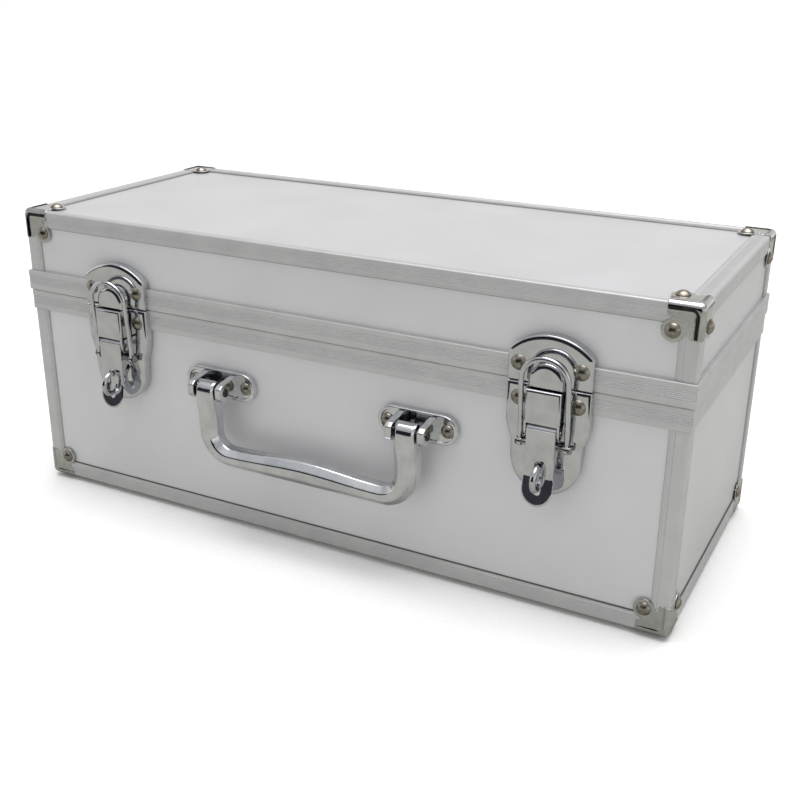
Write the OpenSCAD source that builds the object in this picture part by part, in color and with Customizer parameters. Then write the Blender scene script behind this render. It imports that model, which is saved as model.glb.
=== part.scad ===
// Carrying case for art supplies: laminated boards held by aluminium edge trims, a hinged lid,
// two toggle latches with padlock rings, and a cast drop handle on the front.
// Millimetres. The long side lies along X, the front faces -Y, and Z is up.

/* [Case] */
// Width over the edge trims
case_w = 400; // [340:1:460]
// Depth over the edge trims, front to back
case_d = 166.5; // [150:0.5:220]
// Height of the closed case over the edge trims
case_h = 170; // [165:1:200]
// Height of the split between base and lid
seam_h = 121.5; // [120:0.5:126]
// Gap between the two rims with the lid shut
seam_gap = 0.3; // [0.2:0.1:0.5]

/* [Boards and lining] */
// Thickness of the laminated boards
board_t = 4; // [3:0.5:5]
// Thickness of the foam lining
lining_t = 2; // [1.5:0.5:3]

/* [Trims and rims] */
// Width of each leg of the edge trims
trim_leg = 10; // [9:0.5:11]
// Top leg of the trim along the lid's front edge
front_top_leg = 4.5; // [4:0.5:10]
// Wall of the trims and rims
trim_t = 1.2; // [1:0.1:1.5]
// Outer edge radius of the trims
trim_r = 2.5; // [2:0.5:3]
// Height of each rim band
rim_h = 12; // [11:0.5:13]
// How far the base rim stands proud of the trims
base_rim_out = 0.5; // [0.3:0.1:0.8]
// How far the lid rim stands proud of the trims
lid_rim_out = 1.2; // [0.9:0.1:1.2]
// Height of the tongue on the base rim
tongue_h = 2.5; // [2:0.1:2.5]

/* [Corner brackets] */
// Sheet thickness of the corner brackets
bracket_t = 1; // [0.8:0.1:1.2]
// Length of each arm along its edge
arm_l = 16.5; // [15:0.5:18]
// Width of each arm from its edge
arm_w = 6; // [5:0.5:7]
// Radius of the lobe round each rivet
lobe_r = 6; // [5:0.5:6.5]
// Distance of each corner rivet from its two edges
corner_rivet_in = 13; // [12.5:0.5:14]

/* [Rivets] */
// Head radius of the corner rivets
corner_head_r = 3.7; // [3.2:0.1:4]
// Head radius of the latch rivets
latch_head_r = 4; // [3.5:0.1:4.2]
// Height of the rivet heads
head_h = 2; // [1.6:0.1:2.1]
// Shank radius of the rivets
shank_r = 1.6; // [1.4:0.1:1.8]

/* [Latches] */
// Distance of each latch from the middle of the case
latch_x = 132.4; // [125:0.1:145]
// Width of the latch plates
plate_w = 42.6; // [40:0.2:44]
// How far the plate faces stand out from the trims
plate_out = 4.7; // [4.5:0.1:4.8]
// Width of the bridge over the lever's head
bridge_w = 18; // [18:0.1:18.6]
// Width of the lever
lever_w = 15; // [14.6:0.1:15]
// Wire radius of the bail
bail_wire_r = 1.35; // [1.2:0.05:1.4]
// Centre-line radius of the bail's arch
bail_arch_r = 11.9; // [11.8:0.1:12.2]
// Wire radius of the padlock ring
ring_wire_r = 1.6; // [1.4:0.1:1.7]
// Centre-line radius of the padlock ring
ring_r = 5.9; // [5.6:0.1:5.9]

/* [Handle] */
// Distance of each handle bracket from the middle of the case
handle_x = 62; // [55:0.5:70]
// Height of the handle's pins
handle_z = 86.2; // [80:0.1:90]
// How far the handle's pins stand out from the trims
handle_out = 13; // [13:0.1:14]
// Drop from the pins to the bottom of the grip
handle_drop = 43.2; // [40:0.1:50]
// Width of each leg
leg_w = 13; // [12:0.1:13.4]
// Depth of the legs and the grip
leg_d = 12; // [10:0.5:12]

/* [Hinges] */
// Distance of each hinge from the middle of the case
hinge_x = 120; // [80:1:140]
// Width of each hinge
hinge_w = 50; // [40:1:60]
// How far the hinge axis stands out from the back trims
hinge_out = 4.6; // [4.6:0.1:5]

/* [Hidden] */
$fn = 48;

// Clearances: a hole round a fixed pin or shank, and round a pin that turns
fixed_gap = 0.03;
run_gap = 0.05;
// Overrun of a cutter past the face that it cuts
over = 1;

// Levels of the shell, measured inwards from the trims' outer faces
board_in = trim_t;
board_back = trim_t + board_t;
lining_back = board_back + lining_t;

// Heights of the rims and of what they hold
base_rim_z = seam_h - rim_h;
base_rim_top = seam_h - seam_gap / 2;
lid_rim_z = seam_h + seam_gap / 2;
lid_rim_top = seam_h + rim_h;
groove_h = tongue_h + 1;
lid_web_z = lid_rim_z + groove_h + 1.5;
lining_gap = 1.5;
tongue_in = 3.6;
tongue_t = 1.2;
groove_gap = 0.6;
mitre_gap = 0.1;

// Rivets: dome height before its crown is flattened, and the closed tail inside the case
dome_h = head_h + 0.3;
tail_r = 2.8;
tail_t = 1;

// Corner rivets, as distances from the middle of the case
corner_rivet_x = case_w / 2 - corner_rivet_in;
corner_rivet_y = case_d / 2 - corner_rivet_in;
corner_rivet_top = case_h - corner_rivet_in;

// The case stands on the crowns of the rivets under its corners
foot_h = bracket_t + head_h;

// Latch heights, and places in (out, height) as seen along X
plate_top = seam_h - 0.2;
plate_shoulder_z = seam_h - 20.5;
plate_waist_z = seam_h - 31.5;
plate_waist_r = 18.3;
plate_end_r = 18;
plate_end_z = seam_h - 38.9;
plate_skin = 1.2;
keeper_z = seam_h + 0.4;
keeper_top = seam_h + 25.3;
keeper_arch_r = 29.3;
catch_r = 9;
catch_z = seam_h + 0.2;
catch_arch_z = seam_h + 3.8;
catch_out = 9.6;
latch_rivet_x = 15;
latch_rivet_z = seam_h - 7.9;
keeper_rivet_x = 15.7;
keeper_rivet_z = seam_h + 9.7;
bridge_out = 12;
bridge_z = seam_h - 17.5;
bridge_wall = 1.2;
pivot_out = 9;
pivot_z = seam_h - 21.1;
pivot_r = 1.5;
knuckle_r = 3.2;
lever_out = 12.3;
lever_t = 1.2;
tab_top_z = seam_h - 44.5;
tab_end_z = seam_h - 59.1;
tab_r = 8;
tab_lean = 12;
slot_r = 2.2;
slot_z = [seam_h - 53.5, seam_h - 36];
bail_pin_out = 7.4;
bail_pin_z = seam_h - 29.3;
bail_pin_r = 1.4;
bail_eye_r = 2.4;
bail_eye_t = 2;
bail_leg_l = 33.3;
bail_tilt = 4.85;
ring_out = 13.5;
ring_z = seam_h - 44.5;

// Handle parts
bracket_l = 46;
bracket_w = 16.7;
handle_plate_out = 3;
handle_rivet_x = 17.3;
lug_gap = 14.4;
lug_w = 4;
lug_r = 5;
handle_pin_r = 2.6;
eye_r = 5.6;
leg_bend_r = 14.5;
leg_chamfer = 3;

// Hinge parts
hinge_leaf_t = 1.5;
hinge_knuckle_r = 3;
hinge_pin_r = 1.5;
hinge_gap = 0.3;
hinge_web_t = 1.8;
hinge_leaf_far = 11.5;
hinge_rivet_z = 7.5;
hinge_rivet_dx = 16;
hinge_mid_w = hinge_w / 3;

// The origin is under the middle of everything, from the padlock rings to the hinge knuckles
front_reach = ring_out + ring_r + ring_wire_r;
back_reach = hinge_out + hinge_knuckle_r;
case_y = (front_reach - back_reach) / 2;

// ---- Placing ----

// Case coordinates, with the trims' underside at height 0, to the model's own frame
module place() {
    translate([0, case_y, foot_h]) children();
}

// Things on the front wall are drawn with +Y outwards from the front trims
module at_front() {
    place() translate([0, -case_d / 2, 0]) mirror([0, 1, 0]) children();
}

// Things on the back wall are drawn with +Y outwards from the back trims
module at_back() {
    place() translate([0, case_d / 2, 0]) children();
}

module at_latch(side) {
    at_front() translate([side * latch_x, 0, 0]) children();
}

module at_handle(side) {
    at_front() translate([side * handle_x, 0, 0]) children();
}

module at_hinge(side) {
    at_back() translate([side * hinge_x, 0, 0]) children();
}

// Things on a corner are drawn with the corner at the origin and the case towards -X -Y -Z
module at_corners(top) {
    for (sx = [-1, 1]) {
        for (sy = [-1, 1]) {
            place() translate([sx * case_w / 2, sy * case_d / 2, top ? case_h : 0])
                mirror([sx < 0 ? 1 : 0, 0, 0]) mirror([0, sy < 0 ? 1 : 0, 0])
                    mirror([0, 0, top ? 0 : 1]) children();
        }
    }
}

// A flat shape drawn in (out, height), as wide as w along X
module across(w) {
    rotate([90, 0, 90]) linear_extrude(w, center = true) children();
}

// A flat shape drawn in (X, height), from one distance out to another
module outward(from, to) {
    translate([0, to, 0]) rotate([90, 0, 0]) linear_extrude(to - from) children();
}

module rod_x(r, w) {
    rotate([0, 90, 0]) cylinder(r = r, h = w, center = true);
}

module slab(low, high) {
    translate(low) cube(high - low);
}

// ---- Rivets ----

// Head on +Z from height 0, shank down through the stack, closed tail beyond it
module rivet(head_r, stack) {
    dome_r = (head_r * head_r + dome_h * dome_h) / (2 * dome_h);
    intersection() {
        translate([0, 0, dome_h - dome_r]) sphere(dome_r);
        cylinder(r = head_r, h = head_h);
    }
    translate([0, 0, -stack - tail_t]) cylinder(r = shank_r, h = stack + tail_t + head_h / 2);
    translate([0, 0, -stack - tail_t]) cylinder(r = tail_r, h = tail_t);
}

module rivet_out(head_r, from, stack) {
    translate([0, from, 0]) rotate([-90, 0, 0]) rivet(head_r, stack);
}

module corner_rivet_set() {
    stack = bracket_t + board_back;
    translate([-corner_rivet_in, -corner_rivet_in, bracket_t]) rivet(corner_head_r, stack);
    translate([bracket_t, -corner_rivet_in, -corner_rivet_in]) rotate([0, 90, 0])
        rivet(corner_head_r, stack);
    translate([-corner_rivet_in, 0, -corner_rivet_in]) rivet_out(corner_head_r, bracket_t, stack);
}

// Holes through a wall that faces Y, or through one that faces X, at [place, height] points
module holes_y(points, r) {
    for (p = points) {
        translate([p[0], 0, p[1]]) rotate([90, 0, 0])
            cylinder(r = r, h = case_d + 2 * (lid_rim_out + over), center = true);
    }
}

module holes_x(points, r) {
    for (p = points) {
        translate([0, p[0], p[1]]) rod_x(r, case_w + 2 * over);
    }
}

module holes_z(points, r) {
    for (p = points) {
        translate([p[0], p[1], -over]) cylinder(r = r, h = case_h + 2 * over);
    }
}

// Rivet places on each wall
low_front_corner_points = [for (s = [-1, 1]) [s * corner_rivet_x, corner_rivet_in]];
low_side_corner_points = [for (s = [-1, 1]) [s * corner_rivet_y, corner_rivet_in]];
top_front_corner_points = [for (s = [-1, 1]) [s * corner_rivet_x, corner_rivet_top]];
top_side_corner_points = [for (s = [-1, 1]) [s * corner_rivet_y, corner_rivet_top]];
flat_corner_points = [for (s = [-1, 1], t = [-1, 1]) [s * corner_rivet_x, t * corner_rivet_y]];
latch_points = [for (s = [-1, 1], t = [-1, 1]) [s * latch_x + t * latch_rivet_x, latch_rivet_z]];
keeper_points = [for (s = [-1, 1], t = [-1, 1]) [s * latch_x + t * keeper_rivet_x, keeper_rivet_z]];
handle_points = [for (s = [-1, 1], t = [-1, 1]) [s * handle_x + t * handle_rivet_x, handle_z]];
hinge_base_points = [for (s = [-1, 1], t = [-1, 0, 1])
    [s * hinge_x + t * hinge_rivet_dx, seam_h - hinge_rivet_z]];
hinge_lid_points = [for (s = [-1, 1], t = [-1, 0, 1])
    [s * hinge_x + t * hinge_rivet_dx, seam_h + hinge_rivet_z]];
hole_r = shank_r + fixed_gap;

// ---- Boards ----

// A board that spans the case's plan, inset on all sides, between two heights
module flat_board(z0, z1) {
    x = case_w / 2 - board_in;
    y = case_d / 2 - board_in;
    difference() {
        slab([-x, -y, z0], [x, y, z1]);
        holes_z(flat_corner_points, hole_r);
    }
}

module long_board(side, z0, z1, points) {
    x = case_w / 2 - board_in;
    y = case_d / 2 - board_in;
    difference() {
        slab([-x, side < 0 ? -y : y - board_t, z0], [x, side < 0 ? board_t - y : y, z1]);
        intersection() {
            holes_y(points, hole_r);
            slab([-x, side < 0 ? -case_d : 0, 0], [x, side < 0 ? 0 : case_d, case_h]);
        }
    }
}

module end_board(side, z0, z1, points) {
    x = case_w / 2 - board_in;
    y = case_d / 2 - board_back;
    difference() {
        slab([side < 0 ? -x : x - board_t, -y, z0], [side < 0 ? board_t - x : x, y, z1]);
        holes_x(points, hole_r);
    }
}

wall_z = board_back;
wall_top = base_rim_top - trim_t;
lid_wall_top = case_h - board_back;

module base_bottom_panel() {
    color("silver") place() flat_board(board_in, board_back);
}

module base_front_panel() {
    color("gainsboro") place()
        long_board(-1, wall_z, wall_top, concat(low_front_corner_points, latch_points, handle_points));
}

module base_back_panel() {
    color("gainsboro") place()
        long_board(1, wall_z, wall_top, concat(low_front_corner_points, hinge_base_points));
}

module base_left_panel() {
    color("gainsboro") place() end_board(-1, wall_z, wall_top, low_side_corner_points);
}

module base_right_panel() {
    color("gainsboro") place() end_board(1, wall_z, wall_top, low_side_corner_points);
}

module lid_top_panel() {
    color("lavender") place() flat_board(case_h - board_back, case_h - board_in);
}

module lid_front_panel() {
    color("gainsboro") place()
        long_board(-1, lid_web_z, lid_wall_top, concat(top_front_corner_points, keeper_points));
}

module lid_back_panel() {
    color("gainsboro") place()
        long_board(1, lid_web_z, lid_wall_top, concat(top_front_corner_points, hinge_lid_points));
}

module lid_left_panel() {
    color("gainsboro") place() end_board(-1, lid_web_z, lid_wall_top, top_side_corner_points);
}

module lid_right_panel() {
    color("gainsboro") place() end_board(1, lid_web_z, lid_wall_top, top_side_corner_points);
}

// ---- Edge trims: L-section extrusions with a rounded outer edge ----

// A quarter of a round-edged block, its outer corner at the origin
module round_corner(a, b, r) {
    translate([-a, -b]) square([a, b - r]);
    translate([-a, -b]) square([a - r, b]);
    translate([-r, -r]) circle(r);
}

// The two legs are a along the first axis and b along the second
module trim_section(a, b) {
    difference() {
        round_corner(a, b, trim_r);
        translate([-a - over, -b - over]) square([a + over - trim_t, b + over - trim_t]);
    }
}

// Four upright trims between two heights, clear of the brackets at one end
module upright_trims(z0, z1) {
    for (sx = [-1, 1]) {
        for (sy = [-1, 1]) {
            place() translate([sx * case_w / 2, sy * case_d / 2, z0])
                mirror([sx < 0 ? 1 : 0, 0, 0]) mirror([0, sy < 0 ? 1 : 0, 0])
                    linear_extrude(z1 - z0) trim_section(trim_leg, trim_leg);
        }
    }
}

// Trims along X on the long edges, and along Y on the short ones; front_leg lies on the flat face
module flat_trims(top, front_leg) {
    z = top ? case_h : 0;
    for (sy = [-1, 1]) {
        place() translate([0, sy * case_d / 2, z]) mirror([0, sy < 0 ? 1 : 0, 0])
            mirror([0, 0, top ? 0 : 1]) across(case_w - 2 * trim_leg)
                trim_section(sy < 0 ? front_leg : trim_leg, trim_leg);
    }
    for (sx = [-1, 1]) {
        place() translate([sx * case_w / 2, 0, z]) mirror([sx < 0 ? 1 : 0, 0, 0])
            mirror([0, 0, top ? 0 : 1]) rotate([90, 0, 0])
                linear_extrude(case_d - 2 * trim_leg, center = true) trim_section(trim_leg, trim_leg);
    }
}

module base_upright_trims() {
    color("lightgray") upright_trims(trim_leg, base_rim_z - mitre_gap);
}

module base_bottom_trims() {
    color("lightgray") flat_trims(false, trim_leg);
}

module lid_upright_trims() {
    color("lightgray") upright_trims(lid_rim_top + mitre_gap, case_h - trim_leg);
}

module lid_top_trims() {
    color("lightgray") flat_trims(true, front_top_leg);
}

// ---- Rims: channel extrusions that hold the boards' edges and meet in a tongue and groove ----

module base_rim_section() {
    difference() {
        translate([-board_back - trim_t, base_rim_z])
            square([board_back + trim_t + base_rim_out, base_rim_top - base_rim_z]);
        translate([-board_back, base_rim_z - over]) square([board_t, wall_top - base_rim_z + over]);
    }
    translate([-tongue_in - tongue_t, base_rim_top - trim_t])
        square([tongue_t, tongue_h + trim_t]);
}

module lid_rim_section() {
    difference() {
        translate([-board_back - trim_t, lid_rim_z])
            square([board_back + trim_t + lid_rim_out, lid_rim_top - lid_rim_z]);
        translate([-board_back, lid_web_z]) square([board_t, lid_rim_top - lid_web_z + over]);
        translate([-tongue_in - tongue_t - groove_gap, lid_rim_z - over])
            square([tongue_t + 2 * groove_gap, groove_h + over]);
    }
}

// Plan of one mitred side: it faces -Y, from a corner of the outline w by d to the other
module mitre_plan(w, d) {
    far = 20;
    x = w / 2 - mitre_gap / 2;
    polygon([
        [-x - over * 2, -d / 2 - over * 2],
        [x + over * 2, -d / 2 - over * 2],
        [x - far, -d / 2 + far],
        [far - x, -d / 2 + far]
    ]);
}

// One side of a rim, on an outline w by d, with the section given as a child
module rim_side(w, d) {
    intersection() {
        translate([0, -d / 2, 0]) mirror([0, 1, 0]) across(w + 6 * over) children();
        linear_extrude(case_h) mitre_plan(w, d);
    }
}

module rim_sides() {
    for (turn = [0, 180]) {
        rotate([0, 0, turn]) rim_side(case_w, case_d) children();
        rotate([0, 0, turn + 90]) rim_side(case_d, case_w) children();
    }
}

module base_rim() {
    color("lightgray") place() difference() {
        rim_sides() base_rim_section();
        intersection() {
            holes_y(latch_points, hole_r);
            slab([-case_w, -case_d, 0], [case_w, 0, case_h]);
        }
        intersection() {
            holes_y(hinge_base_points, hole_r);
            slab([-case_w, 0, 0], [case_w, case_d, case_h]);
        }
    }
}

module lid_rim() {
    color("lightgray") place() difference() {
        rim_sides() lid_rim_section();
        intersection() {
            holes_y(keeper_points, hole_r);
            slab([-case_w, -case_d, 0], [case_w, 0, case_h]);
        }
        intersection() {
            holes_y(hinge_lid_points, hole_r);
            slab([-case_w, 0, 0], [case_w, case_d, case_h]);
        }
    }
}

// ---- Foam linings, pierced for the rivets' tails ----

module lining(z0, z1, floor_z, top) {
    x0 = case_w / 2 - board_back;
    y0 = case_d / 2 - board_back;
    x1 = case_w / 2 - lining_back;
    y1 = case_d / 2 - lining_back;
    difference() {
        slab([-x0, -y0, z0], [x0, y0, z1]);
        if (top) {
            slab([-x1, -y1, z0 - over], [x1, y1, floor_z]);
        } else {
            slab([-x1, -y1, floor_z], [x1, y1, z1 + over]);
        }
        children();
    }
}

tail_hole_r = tail_r + 0.3;

module base_lining() {
    color("dimgray") place()
        lining(board_back, base_rim_z - lining_gap, lining_back, false) {
            holes_y(low_front_corner_points, tail_hole_r);
            holes_x(low_side_corner_points, tail_hole_r);
            intersection() {
                holes_y(handle_points, tail_hole_r);
                slab([-case_w, -case_d, 0], [case_w, 0, case_h]);
            }
            intersection() {
                holes_z(flat_corner_points, tail_hole_r);
                slab([-case_w, -case_d, 0], [case_w, case_d, lining_back + over]);
            }
        }
}

module lid_lining() {
    color("dimgray") place()
        lining(lid_rim_top + lining_gap, case_h - board_back, case_h - lining_back, true) {
            holes_y(top_front_corner_points, tail_hole_r);
            holes_x(top_side_corner_points, tail_hole_r);
            intersection() {
                holes_z(flat_corner_points, tail_hole_r);
                slab([-case_w, -case_d, case_h - lining_back - over], [case_w, case_d, case_h]);
            }
        }
}

// ---- Corner brackets: pressed steel caps with an arm along each edge and a lobe on each face ----

// The three-way round corner of a block whose faces stand at e
module corner_block(e, r) {
    reach = 40;
    intersection() {
        translate([e, e, -reach]) linear_extrude(reach + e) round_corner(reach, reach, r);
        translate([-reach, e, e]) rotate([90, 0, 90]) linear_extrude(reach + e)
            round_corner(reach, reach, r);
        translate([e, e, e]) rotate([90, 0, 0]) linear_extrude(reach + e)
            round_corner(reach, reach, r);
    }
}

// Outline of the bracket on one face
module bracket_outline() {
    edge = bracket_t + over;
    translate([-corner_rivet_in, -corner_rivet_in]) square(corner_rivet_in + edge);
    translate([-corner_rivet_in, -corner_rivet_in]) circle(lobe_r);
    translate([-arm_l, -arm_w]) square([arm_l + edge, arm_w + edge]);
    translate([-arm_w, -arm_l]) square([arm_w + edge, arm_l + edge]);
}

module corner_bracket() {
    depth = trim_r + bracket_t;
    difference() {
        intersection() {
            corner_block(bracket_t, trim_r + bracket_t);
            union() {
                translate([0, 0, -depth]) linear_extrude(depth + 2 * bracket_t) bracket_outline();
                translate([-depth, 0, 0]) rotate([90, 0, 90])
                    linear_extrude(depth + 2 * bracket_t) bracket_outline();
                translate([0, 2 * bracket_t, 0]) rotate([90, 0, 0])
                    linear_extrude(depth + 2 * bracket_t) bracket_outline();
            }
        }
        corner_block(0, trim_r);
        translate([-corner_rivet_in, -corner_rivet_in, 0])
            cylinder(r = hole_r, h = 4 * bracket_t, center = true);
        translate([0, -corner_rivet_in, -corner_rivet_in]) rod_x(hole_r, 4 * bracket_t);
        translate([-corner_rivet_in, 0, -corner_rivet_in]) rotate([90, 0, 0])
            cylinder(r = hole_r, h = 4 * bracket_t, center = true);
    }
}

module base_corners() {
    color("darkgray") at_corners(false) corner_bracket();
}

module base_corner_rivets() {
    color("tan") at_corners(false) corner_rivet_set();
}

module lid_corners() {
    color("darkgray") at_corners(true) corner_bracket();
}

module lid_corner_rivets() {
    color("tan") at_corners(true) corner_rivet_set();
}

// ---- Hinges: two-leaf butt hinges on the back of the rims ----

// One leaf; up is 1 for the lid's and -1 for the base's, out is its rim's face
module hinge_leaf(up, out, knuckle_spans) {
    z0 = hinge_knuckle_r + hinge_gap;
    far_z = hinge_leaf_far;
    difference() {
        union() {
            slab([-hinge_w / 2, out, up > 0 ? seam_h + z0 : seam_h - far_z],
                [hinge_w / 2, out + hinge_leaf_t, up > 0 ? seam_h + far_z : seam_h - z0]);
            for (span = knuckle_spans) {
                slab([span[0], out, up > 0 ? seam_h : seam_h - z0 - 1],
                    [span[1], out + hinge_web_t, up > 0 ? seam_h + z0 + 1 : seam_h]);
                translate([(span[0] + span[1]) / 2, hinge_out, seam_h])
                    rod_x(hinge_knuckle_r, span[1] - span[0]);
            }
        }
        translate([0, hinge_out, seam_h])
            rod_x(hinge_pin_r + (up > 0 ? run_gap : fixed_gap), hinge_w + 2 * over);
        for (t = [-1, 0, 1]) {
            translate([t * hinge_rivet_dx, out, seam_h + up * hinge_rivet_z]) rotate([90, 0, 0])
                cylinder(r = hole_r, h = 6 * hinge_leaf_t, center = true);
        }
    }
}

base_knuckles = [
    [-hinge_w / 2, -hinge_mid_w / 2 - hinge_gap],
    [hinge_mid_w / 2 + hinge_gap, hinge_w / 2]
];
lid_knuckles = [[-hinge_mid_w / 2, hinge_mid_w / 2]];

module hinge_base_leaf(side) {
    color("silver") at_hinge(side) hinge_leaf(-1, base_rim_out, base_knuckles);
}

module hinge_lid_leaf(side) {
    color("silver") at_hinge(side) hinge_leaf(1, lid_rim_out, lid_knuckles);
}

module hinge_pin(side) {
    color("dimgray") at_hinge(side) translate([0, hinge_out, seam_h]) rod_x(hinge_pin_r, hinge_w);
}

module hinge_base_rivets() {
    color("tan") at_back() for (p = hinge_base_points) {
        translate([p[0], 0, p[1]]) rivet_out(shank_r * 1.9, base_rim_out + hinge_leaf_t,
            hinge_leaf_t + base_rim_out + board_back + trim_t);
    }
}

module hinge_lid_rivets() {
    color("tan") at_back() for (p = hinge_lid_points) {
        translate([p[0], 0, p[1]]) rivet_out(shank_r * 1.9, lid_rim_out + hinge_leaf_t,
            hinge_leaf_t + lid_rim_out + board_back + trim_t);
    }
}

// ---- Latch plates: shallow pressed pans, riveted through the rims ----

module latch_plate_outline(in) {
    w = plate_w / 2 - in;
    polygon([
        [-w, plate_top - in],
        [w, plate_top - in],
        [w, plate_shoulder_z],
        [plate_waist_r - in, plate_waist_z],
        [plate_end_r - in, plate_end_z],
        [in - plate_end_r, plate_end_z],
        [in - plate_waist_r, plate_waist_z],
        [-w, plate_shoulder_z]
    ]);
    translate([0, plate_end_z]) circle(plate_end_r - in);
}

module latch_plate(side) {
    color("lightsteelblue") at_latch(side) difference() {
        outward(-board_in, plate_out) latch_plate_outline(0);
        outward(-board_in - over, plate_out - plate_skin) latch_plate_outline(plate_skin);
        slab([-plate_w, -board_in - over, base_rim_z - mitre_gap],
            [plate_w, base_rim_out, plate_top + over]);
        for (t = [-1, 1]) {
            translate([t * latch_rivet_x, plate_out, latch_rivet_z]) rotate([90, 0, 0])
                cylinder(r = hole_r, h = 4 * plate_skin, center = true);
        }
    }
}

module keeper_outline(in) {
    intersection() {
        translate([in - plate_w / 2, keeper_z + in])
            square([plate_w - 2 * in, keeper_top - keeper_z]);
        translate([0, keeper_top - keeper_arch_r]) circle(keeper_arch_r - in);
    }
}

module keeper_plate(side) {
    color("lightsteelblue") at_latch(side) difference() {
        outward(-board_in, plate_out) keeper_outline(0);
        outward(-board_in - over, plate_out - plate_skin) keeper_outline(plate_skin);
        slab([-plate_w, -board_in - over, keeper_z - over],
            [plate_w, lid_rim_out, lid_rim_top + mitre_gap]);
        for (t = [-1, 1]) {
            translate([t * keeper_rivet_x, plate_out, keeper_rivet_z]) rotate([90, 0, 0])
                cylinder(r = hole_r, h = 4 * plate_skin, center = true);
        }
    }
}

// The D-shaped catch that the bail drops round
module keeper_catch(side) {
    color("lightsteelblue") at_latch(side) outward(plate_out, catch_out) {
        translate([-catch_r, catch_z]) square([2 * catch_r, catch_arch_z - catch_z]);
        intersection() {
            translate([0, catch_arch_z]) circle(catch_r);
            translate([-catch_r, catch_arch_z]) square([2 * catch_r, catch_r]);
        }
    }
}

module latch_base_rivets() {
    color("tan") at_front() for (p = latch_points) {
        translate([p[0], 0, p[1]])
            rivet_out(latch_head_r, plate_out, plate_out + board_back + trim_t);
    }
}

module keeper_rivets() {
    color("tan") at_front() for (p = keeper_points) {
        translate([p[0], 0, p[1]])
            rivet_out(latch_head_r, plate_out, plate_out + board_back + trim_t);
    }
}

// ---- Latch works ----

// Fixed bridge: a bent channel whose two cheeks carry the lever's pivot
module latch_bridge(side) {
    inner_w = bridge_w - 2 * bridge_wall;
    color("lightsteelblue") at_latch(side) difference() {
        across(bridge_w) {
            translate([plate_out, bridge_z])
                square([bridge_out - plate_out, plate_top - bridge_z]);
            translate([plate_out, pivot_z - knuckle_r])
                square([pivot_out - plate_out, bridge_z - pivot_z + knuckle_r + over]);
            translate([pivot_out, pivot_z]) circle(knuckle_r);
            translate([pivot_out, pivot_z])
                square([bridge_out - pivot_out, bridge_z - pivot_z + over]);
        }
        slab([-inner_w / 2, 0, 0], [inner_w / 2, bridge_out - bridge_wall, case_h]);
        slab([-inner_w / 2, 0, 0], [inner_w / 2, 2 * bridge_out, bridge_z]);
        translate([0, pivot_out, pivot_z]) rod_x(pivot_r + fixed_gap, 2 * bridge_w);
    }
}

module latch_pivot_pin(side) {
    color("gray") at_latch(side) translate([0, pivot_out, pivot_z]) rod_x(pivot_r, bridge_w + 0.6);
}

// Padlock ring: a wire eye standing on the plate, through the lever's slot
module latch_padlock_ring(side) {
    color("gray") at_latch(side) {
        translate([0, ring_out, ring_z]) rotate([0, 90, 0]) rotate_extrude()
            translate([ring_r, 0]) circle(ring_wire_r, $fn = 32);
        translate([0, plate_out, ring_z]) rotate([-90, 0, 0])
            cylinder(r = ring_wire_r, h = ring_out - ring_r - plate_out);
    }
}

// Lever: a folded channel with a rolled head, two cheeks and a slotted thumb tab
module lever_cheek_outline() {
    polygon([
        [lever_out, pivot_z],
        [lever_out, tab_top_z + 3],
        [lever_out - lever_t, tab_top_z + 3],
        [bail_pin_out - 1, bail_pin_z - bail_eye_r],
        [bail_pin_out - bail_eye_r, bail_pin_z],
        [pivot_out - knuckle_r, pivot_z]
    ]);
}

module lever_face() {
    lean_out = (tab_top_z - tab_end_z) * tan(tab_lean);
    across(lever_w) translate([lever_out - lever_t, tab_top_z])
        square([lever_t, pivot_z - tab_top_z]);
    intersection() {
        across(2 * tab_r) polygon([
            [lever_out - lever_t, tab_top_z + lever_t],
            [lever_out, tab_top_z + lever_t],
            [lever_out, tab_top_z],
            [lever_out + lean_out, tab_end_z],
            [lever_out + lean_out - lever_t, tab_end_z],
            [lever_out - lever_t, tab_top_z]
        ]);
        outward(0, 2 * lever_out) {
            translate([-tab_r, tab_end_z + tab_r])
                square([2 * tab_r, tab_top_z - tab_end_z - tab_r + lever_t]);
            translate([0, tab_end_z + tab_r]) circle(tab_r);
        }
    }
}

module latch_lever(side) {
    color("lightsteelblue") at_latch(side) difference() {
        union() {
            lever_face();
            translate([0, pivot_out, pivot_z]) rod_x(knuckle_r, lever_w);
            difference() {
                across(lever_w) lever_cheek_outline();
                slab([lever_t - lever_w / 2, 0, 0], [lever_w / 2 - lever_t, 2 * lever_out, case_h]);
            }
        }
        translate([0, pivot_out, pivot_z]) rod_x(pivot_r + run_gap, 2 * lever_w);
        translate([0, bail_pin_out, bail_pin_z]) rod_x(bail_pin_r + run_gap, 2 * lever_w);
        outward(ring_out - ring_r, 3 * lever_out) {
            translate([-slot_r, slot_z[0] + slot_r])
                square([2 * slot_r, slot_z[1] - slot_z[0] - 2 * slot_r]);
            for (end = [slot_z[0] + slot_r, slot_z[1] - slot_r]) {
                translate([0, end]) circle(slot_r);
            }
        }
    }
}

// Bail: a wire arch with flattened eyes, leaning out from its pin to pass in front of the catch
module latch_bail(side) {
    color("silver") at_latch(side) translate([0, bail_pin_out, bail_pin_z])
        rotate([-bail_tilt, 0, 0]) difference() {
            union() {
                for (s = [-1, 1]) {
                    translate([s * bail_arch_r, 0, 0]) cylinder(r = bail_wire_r, h = bail_leg_l);
                    translate([s * bail_arch_r, 0, 0]) rod_x(bail_eye_r, bail_eye_t);
                }
                translate([0, 0, bail_leg_l]) rotate([90, 0, 0]) rotate_extrude(angle = 180)
                    translate([bail_arch_r, 0]) circle(bail_wire_r, $fn = 32);
            }
            rod_x(bail_pin_r + fixed_gap, 4 * bail_arch_r);
        }
}

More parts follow.
